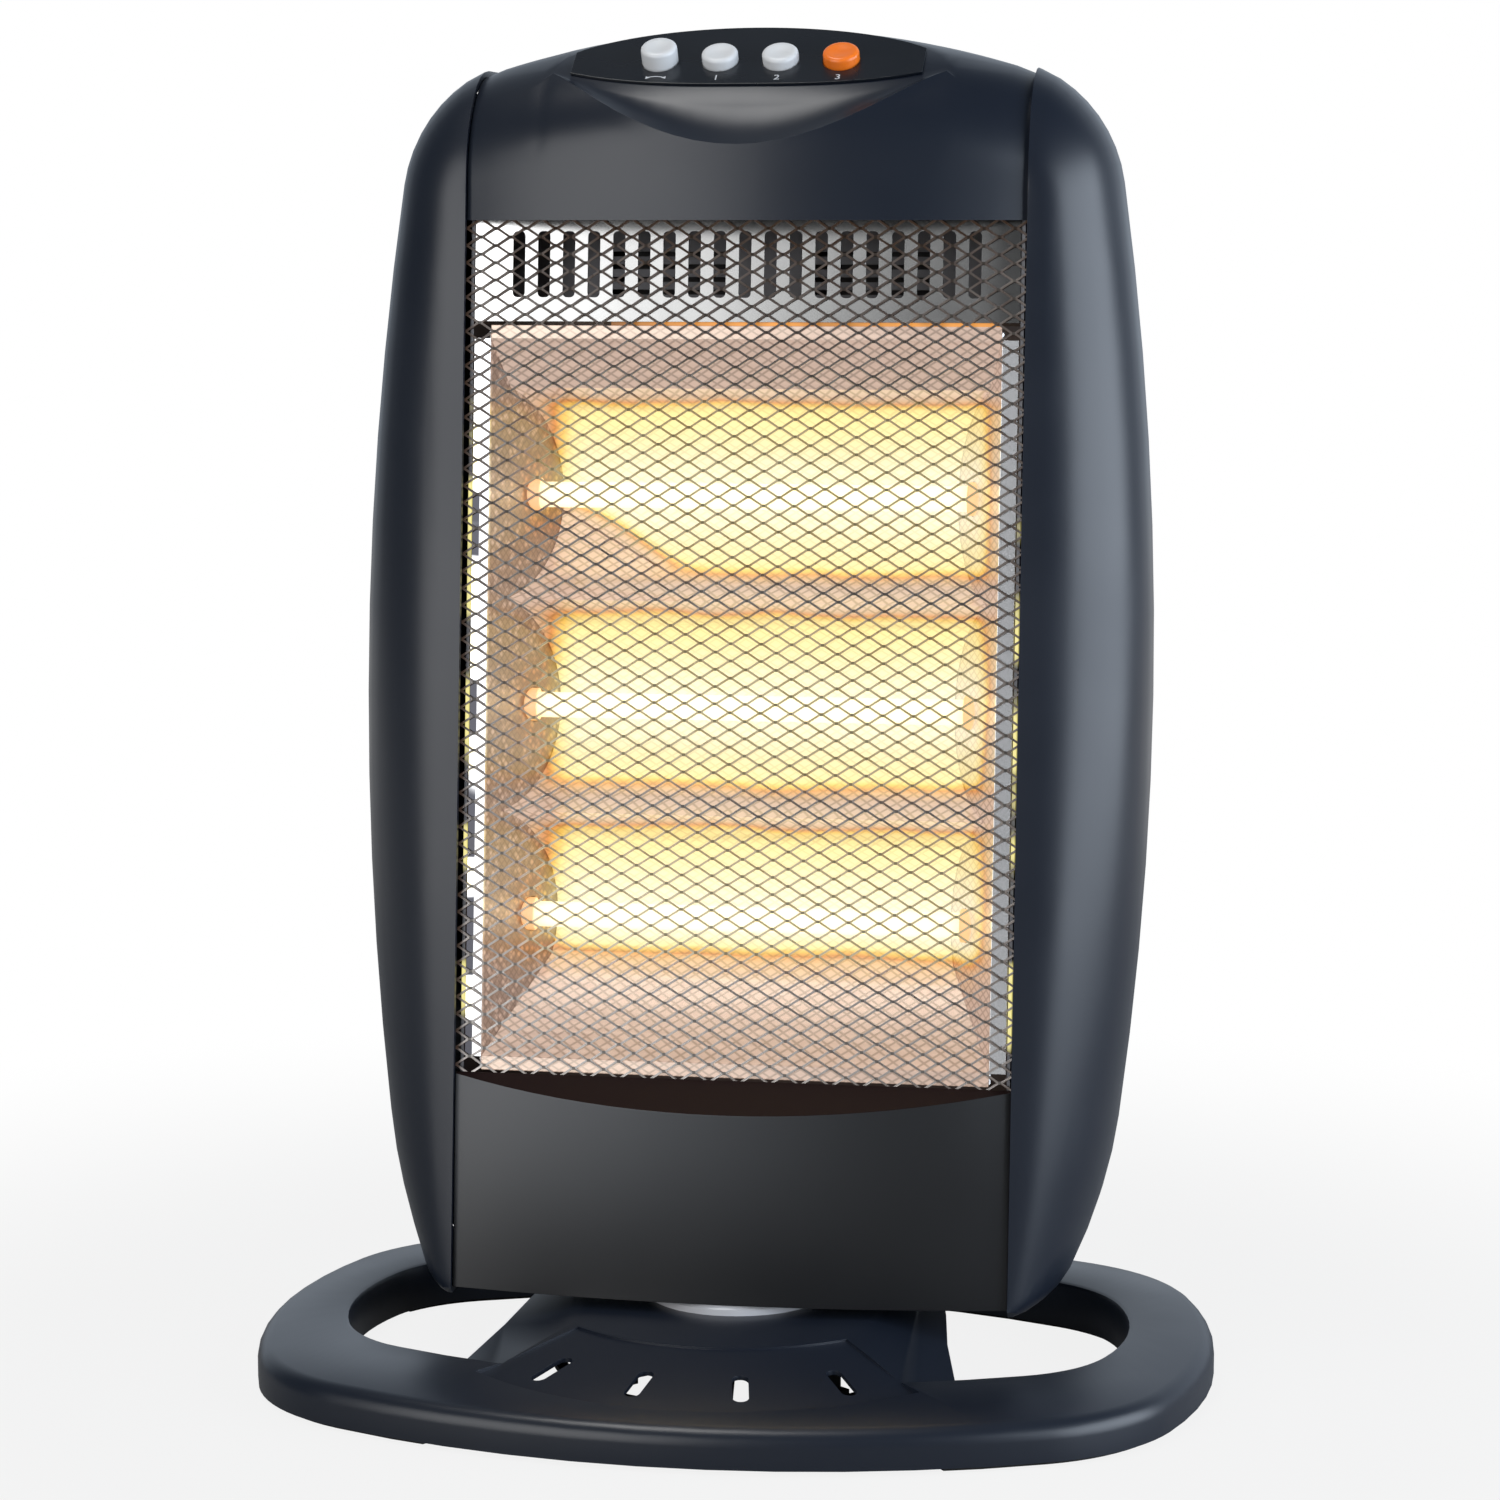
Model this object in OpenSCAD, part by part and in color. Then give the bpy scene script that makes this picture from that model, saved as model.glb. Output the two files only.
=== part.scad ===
// Free-standing halogen heater: an oscillating barrel-shaped head with three
// halogen lamps behind a diamond-mesh guard, on an open oval base.
// Origin: centre of the base on the floor. +Z up, front faces -Y, +X to the right.

/* [Base] */
// Overall width of the oval base
base_w = 370; // [350:1:390]
// Overall depth of the oval base
base_d = 284; // [270:1:300]
// Radius of the four corner arcs of the base outline
base_corner_r = 75; // [65:1:85]
// Height of the ring top at its outer edge
rim_z = 17; // [15:0.5:18]
// Height of the ring top at its inner edge
ring_z = 20; // [19:0.5:22]
// Width spanned by the two openings of the base
opening_w = 304; // [290:1:310]
// Depth of the two openings of the base
opening_d = 184; // [170:1:190]
// Radius of the corner arcs of the openings
opening_corner_r = 52; // [45:1:60]
// Wall thickness of the base moulding
base_wall = 2.5; // [2:0.1:3]
// Thickness of the rubber foot pads
foot_t = 2; // [1.5:0.1:3]
// Length of each foot pad, as an angle about the centre of the base
foot_span = 36; // [20:1:40]
// Angle from the front to the middle of a foot pad
foot_angle = 54.5; // [48:0.5:58]

/* [Hub] */
// Radius of the flat deck of the hub
hub_r = 75; // [70:1:80]
// Height of the flat deck of the hub
hub_z = 28; // [26:0.5:29]
// Radius at which the apron reaches the ring
apron_r = 124; // [118:1:130]
// Half angle of the recessed apron panel
apron_half = 42; // [38:1:46]
// Half width of the bridge where it meets the front of the ring
bridge_front = 96; // [88:1:104]
// Half width of the bridge beside the pivot
bridge_mid = 82; // [80:1:86]
// Half width of the bridge where it meets the rear of the ring
bridge_rear = 64; // [58:1:72]
// Length of one through slot in the apron
apron_slot_l = 19.5; // [14:0.5:22]
// Width of one through slot in the apron
apron_slot_w = 6; // [4:0.5:8]
// Angle between neighbouring apron slots
apron_slot_step = 20.5; // [18:0.5:23]

/* [Swivel] */
// Outer radius of the swivel collar
collar_r = 29.5; // [28.5:0.5:30]
// Wall of the swivel collar
collar_wall = 2.5; // [2:0.1:3]
// Radial running clearance of the swivel
swivel_clear = 0.06; // [0.03:0.01:0.1]
// Distance from the pivot to the crank shaft
crank_l = 22; // [21:0.5:22.5]
// Crank radius
crank_r = 12.6; // [11:0.1:13]
// Radius of the crank pin
crank_pin_r = 2; // [1.5:0.1:2.5]
// Width of the slot that the crank pin works in
yoke_slot_w = 7.4; // [7:0.1:8]

/* [Head shell] */
// Height of the underside of the head
head_bottom = 32; // [31.5:0.5:34]
// Height of the crown of the head
head_top = 516; // [506:1:524]
// Half width of the head at its widest
widest_half = 152.5; // [148:0.5:158]
// Height at which the head is widest
widest_z = 262; // [250:1:270]
// Radius of the barrel sides in front view
side_r = 1330; // [1200:10:1500]
// Radius of the lower flanks in front view
lower_r = 182; // [170:1:200]
// Angle of the side where the lower flank begins
lower_a = 7.3; // [6.5:0.1:8]
// Radius of the bottom corners
bottom_r = 12; // [8:1:16]
// Radius of the shoulders
shoulder_r = 55; // [50:1:60]
// Radius of the crown in front view
crown_r = 345; // [320:5:400]
// Depth position of the widest line at the bottom of the head
widest_y = 31; // [28:1:34]
// Lean of the plane that holds the widest line
widest_lean = 3.1; // [2.5:0.1:3.6]
// Depth of the straight band behind the widest line
band_d = 16; // [12:1:20]
// Depth position of the flat back
back_y = 100; // [96:1:106]
// Width of the rounded border of the back
back_border = 40; // [32:1:46]
// Wall thickness of the head covers
shell = 2.5; // [2:0.1:3]
// Gap at the seams between the covers
seam = 0.3; // [0.2:0.05:0.4]

/* [Front] */
// Lean of the front face
lean = 5.68; // [5:0.1:6.4]
// Half width of the window
window_half = 108; // [104:0.5:112]
// Height of the lower edge of the window
window_z = 115; // [110:1:118]
// Depth position of the lower edge of the window
window_y = -16; // [-18:0.5:-14]
// Length of the window along the lean
window_h = 328.6; // [322:1:334]
// Bulge of the front covers at the window edges
bulge = 22; // [18:1:26]
// Bulge of the lower cover at its bottom edge
bulge_bottom = 10; // [6:1:14]
// Drop of the lower cover's ledge at the centre
ledge_drop = 8; // [5:0.5:10]
// Height over which the top edge is rounded
crown_round = 45; // [42:1:48]

/* [Control deck] */
// Slope of the button deck
deck_slope = 34; // [31:0.5:36]
// Half length of the thumb scoop and deck between their tips
tip_x = 77; // [74:1:80]
// Depth position of the deck front edge at the centre
deck_front_y = 18; // [16:0.5:20]
// Height of the lowest point of the scoop
scoop_z = 470.5; // [468:0.5:473]
// Thickness of the control panel
panel_t = 1.2; // [1:0.1:1.5]
// Distance between neighbouring buttons
button_pitch = 23.4; // [21:0.2:25]
// Radius of a button
button_r = 7; // [6:0.1:7.5]
// Radial clearance of a button in the panel
button_clear = 0.1; // [0.05:0.01:0.1]
// Height of the unpressed button above the panel
button_h = 6.5; // [5:0.5:8]
// How far a latched button sits below the unpressed one
button_latch = 2.5; // [2:0.1:3]

/* [Guard] */
// Width of one mesh diamond
cell_w = 11.8; // [11:0.1:13]
// Height of one mesh diamond
cell_h = 6.6; // [6:0.1:7.5]
// Width of a mesh strand
strand = 0.8; // [0.7:0.1:1.2]
// Thickness of the mesh
mesh_t = 1; // [0.8:0.1:1.4]

/* [Heating] */
// Distance between neighbouring lamps along the lean
lamp_pitch = 82.5; // [80:0.5:84]
// Distance of the lowest lamp above the lower window edge
lamp_first = 60; // [58:0.5:62]
// Depth of the lamp axes behind the front face
lamp_v = 33; // [31:0.5:35]
// Outer radius of a quartz tube
tube_r = 5; // [4:0.1:6]
// Wall thickness of a quartz tube
tube_wall = 1; // [0.8:0.1:1.2]
// Depth of the ridges between the reflector troughs
ridge_v = 16; // [14:0.5:18]
// Rise of the upper wall of the reflector from the last trough to its front edge
refl_rise = 17.85; // [16:0.05:20]
// Height of the vent plate
vent_h = 39.5; // [36:0.5:42]
// Depth of the reflector troughs behind the ridges
trough_d = 32; // [30:0.5:34]
// Half width of the reflector mouth
mouth_half = 99; // [97:0.5:101]
// Splay of the reflector end plates
splay = 25; // [22:0.5:27]
// Thickness of the steel sheets
sheet = 0.8; // [0.6:0.1:1]
// Thickness of the chassis sheet
chassis_t = 1.2; // [1:0.1:1.5]
// Depth of the chassis tray
chassis_d = 51; // [50:0.5:54]
// Number of slots in the vent plate
vent_n = 19; // [15:1:21]
// Distance between neighbouring vent slots
vent_pitch = 9.8; // [9:0.1:10]
// Width of a vent slot
vent_w = 3.6; // [3:0.1:4]
// Length of a vent slot
vent_l = 23; // [20:0.5:25]

/* [Back] */
// Number of louvre slots in each louvre field of the rear cover
louvre_n = 9; // [7:1:10]
// Distance between neighbouring louvre slots
louvre_pitch = 9; // [8:0.5:10]
// Height of a louvre slot
louvre_h = 3.6; // [3:0.1:4]
// Width of the hand grip
grip_w = 96; // [90:1:110]
// Height of the hand grip
grip_h = 28; // [26:1:34]
// Depth of the hand grip pocket
grip_d = 25; // [22:1:26]

/* [Hidden] */
$fn = 64;
eps = 0.01;
seat = 0.3;

// ---------- shared outlines ----------

function dir(a) = [cos(a), sin(a)];

// Corner centre, side radius and front radius of an oval made of eight arcs.
// The corner arcs run from 20 to 65 degrees of the outline's normal.
oval_a1 = 20;
oval_a2 = 65;
function oval_k() = (1 - sin(oval_a2)) / cos(oval_a2);
function oval_side(a, b, r) =
    (b - r - (a - r) * oval_k()) / (sin(oval_a1) - (1 - cos(oval_a1)) * oval_k());
function oval_cc(a, b, r) = [a - r - oval_side(a, b, r) * (1 - cos(oval_a1)),
    oval_side(a, b, r) * sin(oval_a1)];
function oval_front(a, b, r) = oval_cc(a, b, r).x / cos(oval_a2);

// Point of the oval at the normal angle t, and the whole oval as a list of points
function oval_at(a, b, r, t) =
    let (s = oval_side(a, b, r), c = oval_cc(a, b, r), f = oval_front(a, b, r),
        u = asin(abs(sin(t))),
        p = u < oval_a1 ? [a - r - s, 0] + (r + s) * dir(u)
            : u < oval_a2 ? c + r * dir(u) : [0, c.y - f * sin(oval_a2)] + (r + f) * dir(u))
    [cos(t) < 0 ? -p.x : p.x, sin(t) < 0 ? -p.y : p.y];
oval_n = 80;
function oval_points(a, b, r) = [for (i = [0:oval_n - 1]) oval_at(a, b, r, 360 * (i + 0.5) / oval_n)];

// Front outline of the head: a chain of tangent arcs, by the angle of the normal
side_c = [widest_half - side_r, widest_z];
lower_c = side_c + (side_r - lower_r) * dir(-lower_a);
bottom_a = asin((lower_c.y - bottom_r - head_bottom) / (lower_r - bottom_r));
bottom_c = lower_c + (lower_r - bottom_r) * dir(-bottom_a);
crown_c = [0, head_top - crown_r];
// The shoulder arc touches the side arc and the crown arc from inside
sh_d = crown_c - side_c;
sh_l = norm(sh_d);
sh_a = (pow(side_r - shoulder_r, 2) - pow(crown_r - shoulder_r, 2) + sh_l * sh_l) / (2 * sh_l);
sh_h = sqrt(pow(side_r - shoulder_r, 2) - sh_a * sh_a);
shoulder_c = side_c + sh_d / sh_l * sh_a + [-sh_d.y, sh_d.x] / sh_l * sh_h;
shoulder_a1 = atan2(shoulder_c.y - side_c.y, shoulder_c.x - side_c.x);
shoulder_a2 = atan2(shoulder_c.y - crown_c.y, shoulder_c.x - crown_c.x);
function outline(b) = b < -bottom_a ? bottom_c + bottom_r * dir(b)
    : b < -lower_a ? lower_c + lower_r * dir(b)
    : b < shoulder_a1 ? side_c + side_r * dir(b)
    : b < shoulder_a2 ? shoulder_c + shoulder_r * dir(b)
    : crown_c + crown_r * dir(b);
function crown_at(x) = abs(x) < (shoulder_c + shoulder_r * dir(shoulder_a2)).x
    ? crown_c.y + sqrt(crown_r * crown_r - x * x)
    : shoulder_c.y + sqrt(pow(shoulder_r, 2) - pow(abs(x) - shoulder_c.x, 2));

// Depth of the front face, of the widest line and of the rear parting at height z
function front_y(z) = window_y + (z - window_z) * tan(lean);
function wide_y(z) = widest_y + (z - head_bottom) * tan(widest_lean);
function part_y(z) = wide_y(z) + band_d;
window_top = window_z + window_h * cos(lean);

// Steps from a to b in n parts
function steps(a, b, n) = [for (i = [0:n]) a + (b - a) * i / n];
function drop_last(v) = [for (i = [0:len(v) - 2]) v[i]];

// ---------- shells made between two grids of points ----------

// Normal of a grid at row i, column j, on the outside of the shell
function grid_normal(g, i, j) =
    let (m = len(g) - 1, n = len(g[0]) - 1,
        du = g[min(i + 1, m)][j] - g[max(i - 1, 0)][j],
        dv = g[i][min(j + 1, n)] - g[i][max(j - 1, 0)],
        c = cross(du, dv))
    c / norm(c);

// Faces of a closed skin round two grids: quads in two triangles each, outside first
function skin_faces(m, n) =
    let (a = function(i, j) i * n + j, b = function(i, j) m * n + i * n + j)
    concat(
        [for (i = [0:m - 2], j = [0:n - 2], k = [0, 1]) k == 0
            ? [a(i, j), a(i, j + 1), a(i + 1, j + 1)] : [a(i, j), a(i + 1, j + 1), a(i + 1, j)]],
        [for (i = [0:m - 2], j = [0:n - 2], k = [0, 1]) k == 0
            ? [b(i, j), b(i + 1, j + 1), b(i, j + 1)] : [b(i, j), b(i + 1, j), b(i + 1, j + 1)]],
        [for (i = [0:m - 2], k = [0, 1]) k == 0
            ? [a(i, 0), a(i + 1, 0), b(i + 1, 0)] : [a(i, 0), b(i + 1, 0), b(i, 0)]],
        [for (i = [0:m - 2], k = [0, 1]) k == 0
            ? [a(i, n - 1), b(i + 1, n - 1), a(i + 1, n - 1)]
            : [a(i, n - 1), b(i, n - 1), b(i + 1, n - 1)]],
        [for (j = [0:n - 2], k = [0, 1]) k == 0
            ? [a(0, j), b(0, j + 1), a(0, j + 1)] : [a(0, j), b(0, j), b(0, j + 1)]],
        [for (j = [0:n - 2], k = [0, 1]) k == 0
            ? [a(m - 1, j), a(m - 1, j + 1), b(m - 1, j + 1)]
            : [a(m - 1, j), b(m - 1, j + 1), b(m - 1, j)]]);
module skin(outer, inner) {
    m = len(outer);
    n = len(outer[0]);
    polyhedron(
        points = concat([for (r = outer, p = r) p], [for (r = inner, p = r) p]),
        faces = skin_faces(m, n), convexity = 6);
}

// ---------- side covers ----------

seam_x = window_half + seam / 2;
seam_a = acos((seam_x - shoulder_c.x) / shoulder_r);
side_rows = concat([[seam_x, head_bottom]],
    [for (b = drop_last(steps(-90, -bottom_a, 4))) outline(b)],
    [for (b = drop_last(steps(-bottom_a, -lower_a, 4))) outline(b)],
    [for (b = drop_last(steps(-lower_a, shoulder_a1, 11))) outline(b)],
    [for (b = steps(shoulder_a1, seam_a, 8)) outline(b)]);
side_top = side_rows[len(side_rows) - 1].y;
// Above this height the sections fan out round the shoulder
fan_z = 400;
function fan_drop(z) = z < fan_z ? 0 : crown_round * pow((z - fan_z) / (side_top - fan_z), 2);
function side_point(p, f) =
    let (q = [seam_x, p.y - fan_drop(p.y)], c = q + (p - q) * sin(f), y = front_y(q.y))
    [c.x, y + (wide_y(p.y) - y) * (1 - cos(f)), c.y];
side_grid = [for (p = side_rows) concat(
    [for (f = steps(0, 90, 9)) side_point(p, f)], [[p.x, part_y(p.y), p.y]])];
function side_inner(g) = [for (i = [0:len(g) - 1]) [for (j = [0:len(g[0]) - 1])
    let (last = len(g) - 1, end = i == 0 || i == last,
        n = grid_normal(g, i, end ? max(j, 1) : j), k = end || j == 0 ? [0, n.y, n.z] : n,
        q = g[i][j] - shell * k / norm(k))
    j == len(g[0]) - 1 ? [q.x, part_y(q.z), q.z] : q]];
module side_cover() {
    skin(side_grid, side_inner(side_grid));
}
module side_cover_right() {
    color([0.16, 0.19, 0.24]) side_cover();
}
module side_cover_left() {
    color([0.16, 0.19, 0.24]) mirror([1, 0, 0]) side_cover();
}

// ---------- top cover ----------

function bow(x) = 1 - pow(x / window_half, 2);
// Rounded profile of the top cover at x, before the scoop and deck are cut
function round_z(x) = crown_at(x) - crown_round;
function bulge_y(x, z) = front_y(z) - bulge * bow(x);
function top_a(x) = wide_y(crown_at(x)) - bulge_y(x, round_z(x));
function top_point(x, f) =
    [x, bulge_y(x, round_z(x)) + top_a(x) * (1 - cos(f)), round_z(x) + crown_round * sin(f)];
// The deck plane is z = deck_c + y * deck_m and just touches the profile at the tips
deck_m = tan(deck_slope);
function deck_len(x) = norm([crown_round, top_a(x) * deck_m]);
function deck_ang(x) = atan2(top_a(x) * deck_m, crown_round);
deck_c = round_z(tip_x) + deck_len(tip_x)
    - (bulge_y(tip_x, round_z(tip_x)) + top_a(tip_x)) * deck_m;
function deck_k(x) = (deck_c - round_z(x)
    + (bulge_y(x, round_z(x)) + top_a(x)) * deck_m) / deck_len(x);
function deck_end(x) = 180 - asin(min(1, deck_k(x))) - deck_ang(x);
tip_p = top_point(tip_x, 90 - deck_ang(tip_x));
// Lower arc of the scoop and front edge of the deck
function scoop_low(x) = tip_p.z - (tip_p.z - scoop_z) * pow(bow_tip(x), 1.3);
function bow_tip(x) = max(0, 1 - pow(x / tip_x, 2));
function deck_edge_y(x) = deck_front_y + (tip_p.y - deck_front_y) * pow(abs(x) / tip_x, 3);
function low_angle(x) = asin(max(0, min(1, (scoop_low(x) - round_z(x)) / crown_round)));
function low_point(x) = scoop_low(x) < round_z(x)
    ? [x, bulge_y(x, scoop_low(x)), scoop_low(x)] : top_point(x, low_angle(x));
function lerp(a, b, t) = a + (b - a) * t;
face_rows = 8;
scoop_rows = 4;
deck_rows = 4;
crown_rows = 3;
scoop_sag = 2.6;
// Point of the front face or its rounding, at the distance s above the window edge
function face_flat(x) = round_z(x) - window_top - seam;
function face_point(x, s) = let (z = window_top + seam + s)
    s < face_flat(x) ? [x, bulge_y(x, z), z]
        : top_point(x, (s - face_flat(x)) / crown_round * 180 / PI);
// Angle over which the rows of the scoop and the deck fan out beyond the tips
function fan(x) = 3 + 0.25 * (abs(x) - tip_x);
// One column of the top cover: face, scoop, deck, crown and band
function top_column(x) =
    let (cut = abs(x) < tip_x,
        fm = 90 - deck_ang(x),
        la = cut ? low_angle(x) : fm - 2 * fan(x),
        reach = cut && scoop_low(x) < round_z(x) ? scoop_low(x) - window_top - seam
            : face_flat(x) + crown_round * la * PI / 180,
        lo = cut ? low_point(x) : top_point(x, la),
        ey = deck_edge_y(x),
        edge = cut ? [x, ey, deck_c + ey * deck_m] : top_point(x, fm - fan(x)),
        fe = cut ? deck_end(x) : fm + fan(x),
        far = top_point(x, fe),
        sag = cut ? scoop_sag * bow_tip(x) : 0,
        across = edge - lo)
    concat(
        [for (t = [0:face_rows - 1]) face_point(x, reach * t / face_rows)],
        [for (t = [0:scoop_rows - 1]) let (k = t / scoop_rows)
            cut ? lerp(lo, edge, k) + sag * sin(180 * k) * [0, across.z, -across.y] / norm(across)
                : top_point(x, lerp(la, fm - fan(x), k))],
        [for (t = [0:deck_rows]) cut ? lerp(edge, far, t / deck_rows)
            : top_point(x, lerp(fm - fan(x), fe, t / deck_rows))],
        [for (t = [1:crown_rows]) top_point(x, lerp(fe, 90, t / crown_rows))],
        [[x, part_y(crown_at(x)), crown_at(x)]]);
top_x = let (e = window_half - seam / 2)
    concat([-e], [for (x = [-100:5:-80]) x], [-tip_x + 1], [for (x = [-72:8:72]) x],
        [tip_x - 1], [for (x = [80:5:100]) x], [e]);
top_grid = [for (x = top_x) top_column(x)];
function top_inner(g) = [for (i = [0:len(g) - 1]) [for (j = [0:len(g[0]) - 1])
    let (last = len(g) - 1, n = grid_normal(g, i, j),
        k = (i == 0 || i == last) ? [0, n.y, n.z] : n,
        q = g[i][j] - shell * k / norm(k))
    j == len(g[0]) - 1 ? [q.x, part_y(q.z), q.z] : j == 0 ? [q.x, q.y, g[i][j].z] : q]];
// Frame on the deck plane: origin at the row of buttons, Z along their travel
button_y = deck_front_y + 17 * cos(deck_slope);
module on_deck(x = 0) {
    translate([x, button_y, deck_c + button_y * deck_m]) rotate([deck_slope, 0, 0]) children();
}
function button_x(i) = (i - 1.5) * button_pitch;
module top_cover() {
    color([0.15, 0.17, 0.22]) difference() {
        skin(top_grid, top_inner(top_grid));
        for (i = [0:3])
            on_deck(button_x(i)) translate([0, 0, -12]) cylinder(r = button_r + 1, h = 30);
    }
}

// ---------- lower cover ----------

function low_bulge(z) = lerp(bulge_bottom, bulge, (z - head_bottom) / (window_z - head_bottom));
function low_face(x, z) = [x, front_y(z) - low_bulge(z) * bow(x), z];
function ledge_z(x) = window_z - seam - ledge_drop * bow(x);
function low_column(x) = concat(
    [for (z = steps(head_bottom, ledge_z(x), 6)) low_face(x, z)],
    [[x, front_y(window_z) + shell, window_z]]);
low_x = steps(-(window_half - seam / 2), window_half - seam / 2, 20);
low_grid = [for (x = low_x) low_column(x)];
function low_inner(g) = [for (i = [0:len(g) - 1]) [for (j = [0:len(g[0]) - 1])
    let (last = len(g) - 1, n = grid_normal(g, i, j),
        k = (i == 0 || i == last) ? [0, n.y, n.z] : n,
        q = g[i][j] - shell * k / norm(k))
    j == 0 ? [q.x, q.y, head_bottom] : j == len(g[0]) - 1 ? [q.x, g[i][j].y, g[i][j].z - shell] : q]];
module lower_cover() {
    color([0.2, 0.2, 0.22]) skin(low_grid, low_inner(low_grid));
}

lip_w = 5;
// Depths behind the front face: the mesh, then the chassis tray from front to back
mesh_v = shell + 0.3;
chassis_front = mesh_v + mesh_t + 0.4;
chassis_v = chassis_front + chassis_d;

pan_t = 2.5;
pan_top = head_bottom + pan_t;

// ---------- rear cover ----------

rear_half = concat([[0, head_bottom], [bottom_c.x / 2, head_bottom]],
    [for (b = drop_last(steps(-90, -bottom_a, 3))) outline(b)],
    [for (b = drop_last(steps(-bottom_a, -lower_a, 3))) outline(b)],
    [for (b = drop_last(steps(-lower_a, shoulder_a1, 8))) outline(b)],
    [for (b = drop_last(steps(shoulder_a1, shoulder_a2, 5))) outline(b)],
    [for (b = steps(shoulder_a2, 90, 4)) outline(b)]);
rear_loop = concat(rear_half, [for (i = [len(rear_half) - 2:-1:1]) [-rear_half[i].x, rear_half[i].y]]);
head_mid = (head_bottom + head_top) / 2;
// Point of the rear border: p on the parting outline, f from 0 (parting) to 90 (flat back)
function rear_point(p, f, t) =
    let (d = back_border * (1 - cos(f)), r = head_top - head_mid,
        q = [p.x * (1 - (d + t) / widest_half),
            head_mid + (p.y - head_mid) * (1 - (d + t) / r)],
        y0 = part_y(q.y))
    [q.x, y0 + (back_y - t - y0) * sin(f), q.y];
module rear_shape(t) {
    rings = 6;
    n = len(rear_loop);
    grid = [for (f = steps(0, 90, rings)) [for (p = rear_loop) rear_point(p, f, t)]];
    front = [0, part_y(head_mid), head_mid];
    back = [0, back_y - t, head_mid];
    polyhedron(
        points = concat([for (r = grid, p = r) p], [front, back]),
        faces = concat(
            [for (i = [0:rings - 1], j = [0:n - 1], k = [0, 1]) let (a = i * n + j,
                b = i * n + (j + 1) % n)
                k == 0 ? [a, b, b + n] : [a, b + n, a + n]],
            [for (j = [0:n - 1]) [(rings + 1) * n, (j + 1) % n, j]],
            [for (j = [0:n - 1]) [(rings + 1) * n + 1, rings * n + j, rings * n + (j + 1) % n]]),
        convexity = 4);
}
module at_parting(z) {
    translate([0, part_y(z), z]) rotate([-widest_lean, 0, 0]) children();
}
grip_z = 440;
louvre_w = 62;
louvre_gap = 14;
module louvre_field(z) {
    for (i = [0:louvre_n - 1], s = [-1, 1])
        translate([s * (louvre_w + louvre_gap) / 2, back_y, z + i * louvre_pitch])
            cube([louvre_w, 30, louvre_h], center = true);
}
post_x = 84;
post_r = 5;
rear_post_z = [150, 405];
module on_lean(x = 0, v = 0, w = 0) {
    translate([0, window_y, window_z]) rotate([-lean, 0, 0]) translate([x, v, w]) children();
}
// Depth of the chassis back at height z, where the rear cover's posts stand
function chassis_back_y(z) = front_y(z) + (chassis_v + seat) / cos(lean);
module rear_cover() {
    color([0.15, 0.16, 0.18]) difference() {
        union() {
            difference() {
                rear_shape(0);
                difference() {
                    rear_shape(shell);
                    translate([-grip_w / 2 - shell, back_y - shell - grip_d, grip_z - shell])
                        cube([grip_w + 2 * shell, grip_d + 5, grip_h + 2 * shell]);
                }
                translate([0, -eps, 0]) at_parting(head_mid) translate([-200, -5, -300])
                    cube([400, 5.3, 600]);
            }
            for (s = [-1, 1], z = rear_post_z) translate([s * post_x, back_y - shell / 2, z])
                rotate([90, 0, 0])
                cylinder(r = post_r, h = back_y - shell / 2 - chassis_back_y(z) - post_r * tan(lean));
        }
        translate([-grip_w / 2, back_y - grip_d, grip_z]) cube([grip_w, grip_d + 5, grip_h]);
        louvre_field(300);
        louvre_field(110);
        for (s = [-1, 1], z = rear_post_z) translate([s * post_x, back_y + 5, z])
            rotate([90, 0, 0]) cylinder(r = 1.6, h = 60);
        translate([gland_x, back_y + 5, gland_z]) rotate([90, 0, 0]) cylinder(r = gland_r + 0.05, h = 20);
    }
}
module rear_screws() {
    color([0.2, 0.2, 0.21]) for (s = [-1, 1], z = rear_post_z)
        translate([s * post_x, back_y, z]) rotate([90, 0, 0]) {
            translate([0, 0, -1.8]) cylinder(r = 3.2, h = 1.8);
            translate([0, 0, -eps]) cylinder(r = 1.5, h = 20);
        }
}
gland_x = 60;
gland_z = 84;
gland_r = 7;
module cord_gland() {
    color([0.08, 0.08, 0.09]) translate([gland_x, back_y, gland_z]) rotate([90, 0, 0])
        rotate_extrude() polygon([[3.6, -4], [8.6, -4], [9.5, -3], [9.5, 0], [gland_r, 0],
            [gland_r, shell + 0.2], [8.4, shell + 0.2], [8.4, shell + 3], [3.6, shell + 3]]);
}

// ---------- control panel, switches and buttons ----------

panel_pts = [for (x = [-tip_x + 8:4:tip_x - 8]) x];
// Distance up the deck, from the row of buttons, of a point with depth y
function up_deck(y) = (y - button_y) / cos(deck_slope);
function deck_far_y(x) = top_point(x, deck_end(x)).y;
module panel_outline(inset) {
    polygon(concat([for (x = panel_pts) [x, up_deck(deck_edge_y(x)) + inset]],
        [for (i = [len(panel_pts) - 1:-1:0]) let (x = panel_pts[i])
            [x, max(up_deck(deck_far_y(x)) - inset, up_deck(deck_edge_y(x)) + inset + 1)]]));
}
module control_panel() {
    color([0.05, 0.06, 0.08]) on_deck() translate([0, 0, 0.02]) difference() {
        linear_extrude(panel_t) panel_outline(1.2);
        for (i = [0:3]) translate([button_x(i), 0, -1])
            cylinder(r = button_r + button_clear, h = panel_t + 2);
    }
}
bracket_d = 13;
switch_h = 15;
module button(out, tint) {
    color(tint) translate([0, 0, panel_t + out]) rotate_extrude() polygon([
        [0, 0], [2.6, -0.05], [4.8, -0.35], [6.2, -0.9], [button_r - 0.2, -1.6], [button_r, -2.4],
        [button_r, -button_h - 4.5], [2.4, -button_h - 4.5], [2.4, -17 - out], [0, -17 - out]]);
}
module button_swing() {
    on_deck(button_x(0)) button(button_h, [0.82, 0.82, 0.83]);
}
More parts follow.
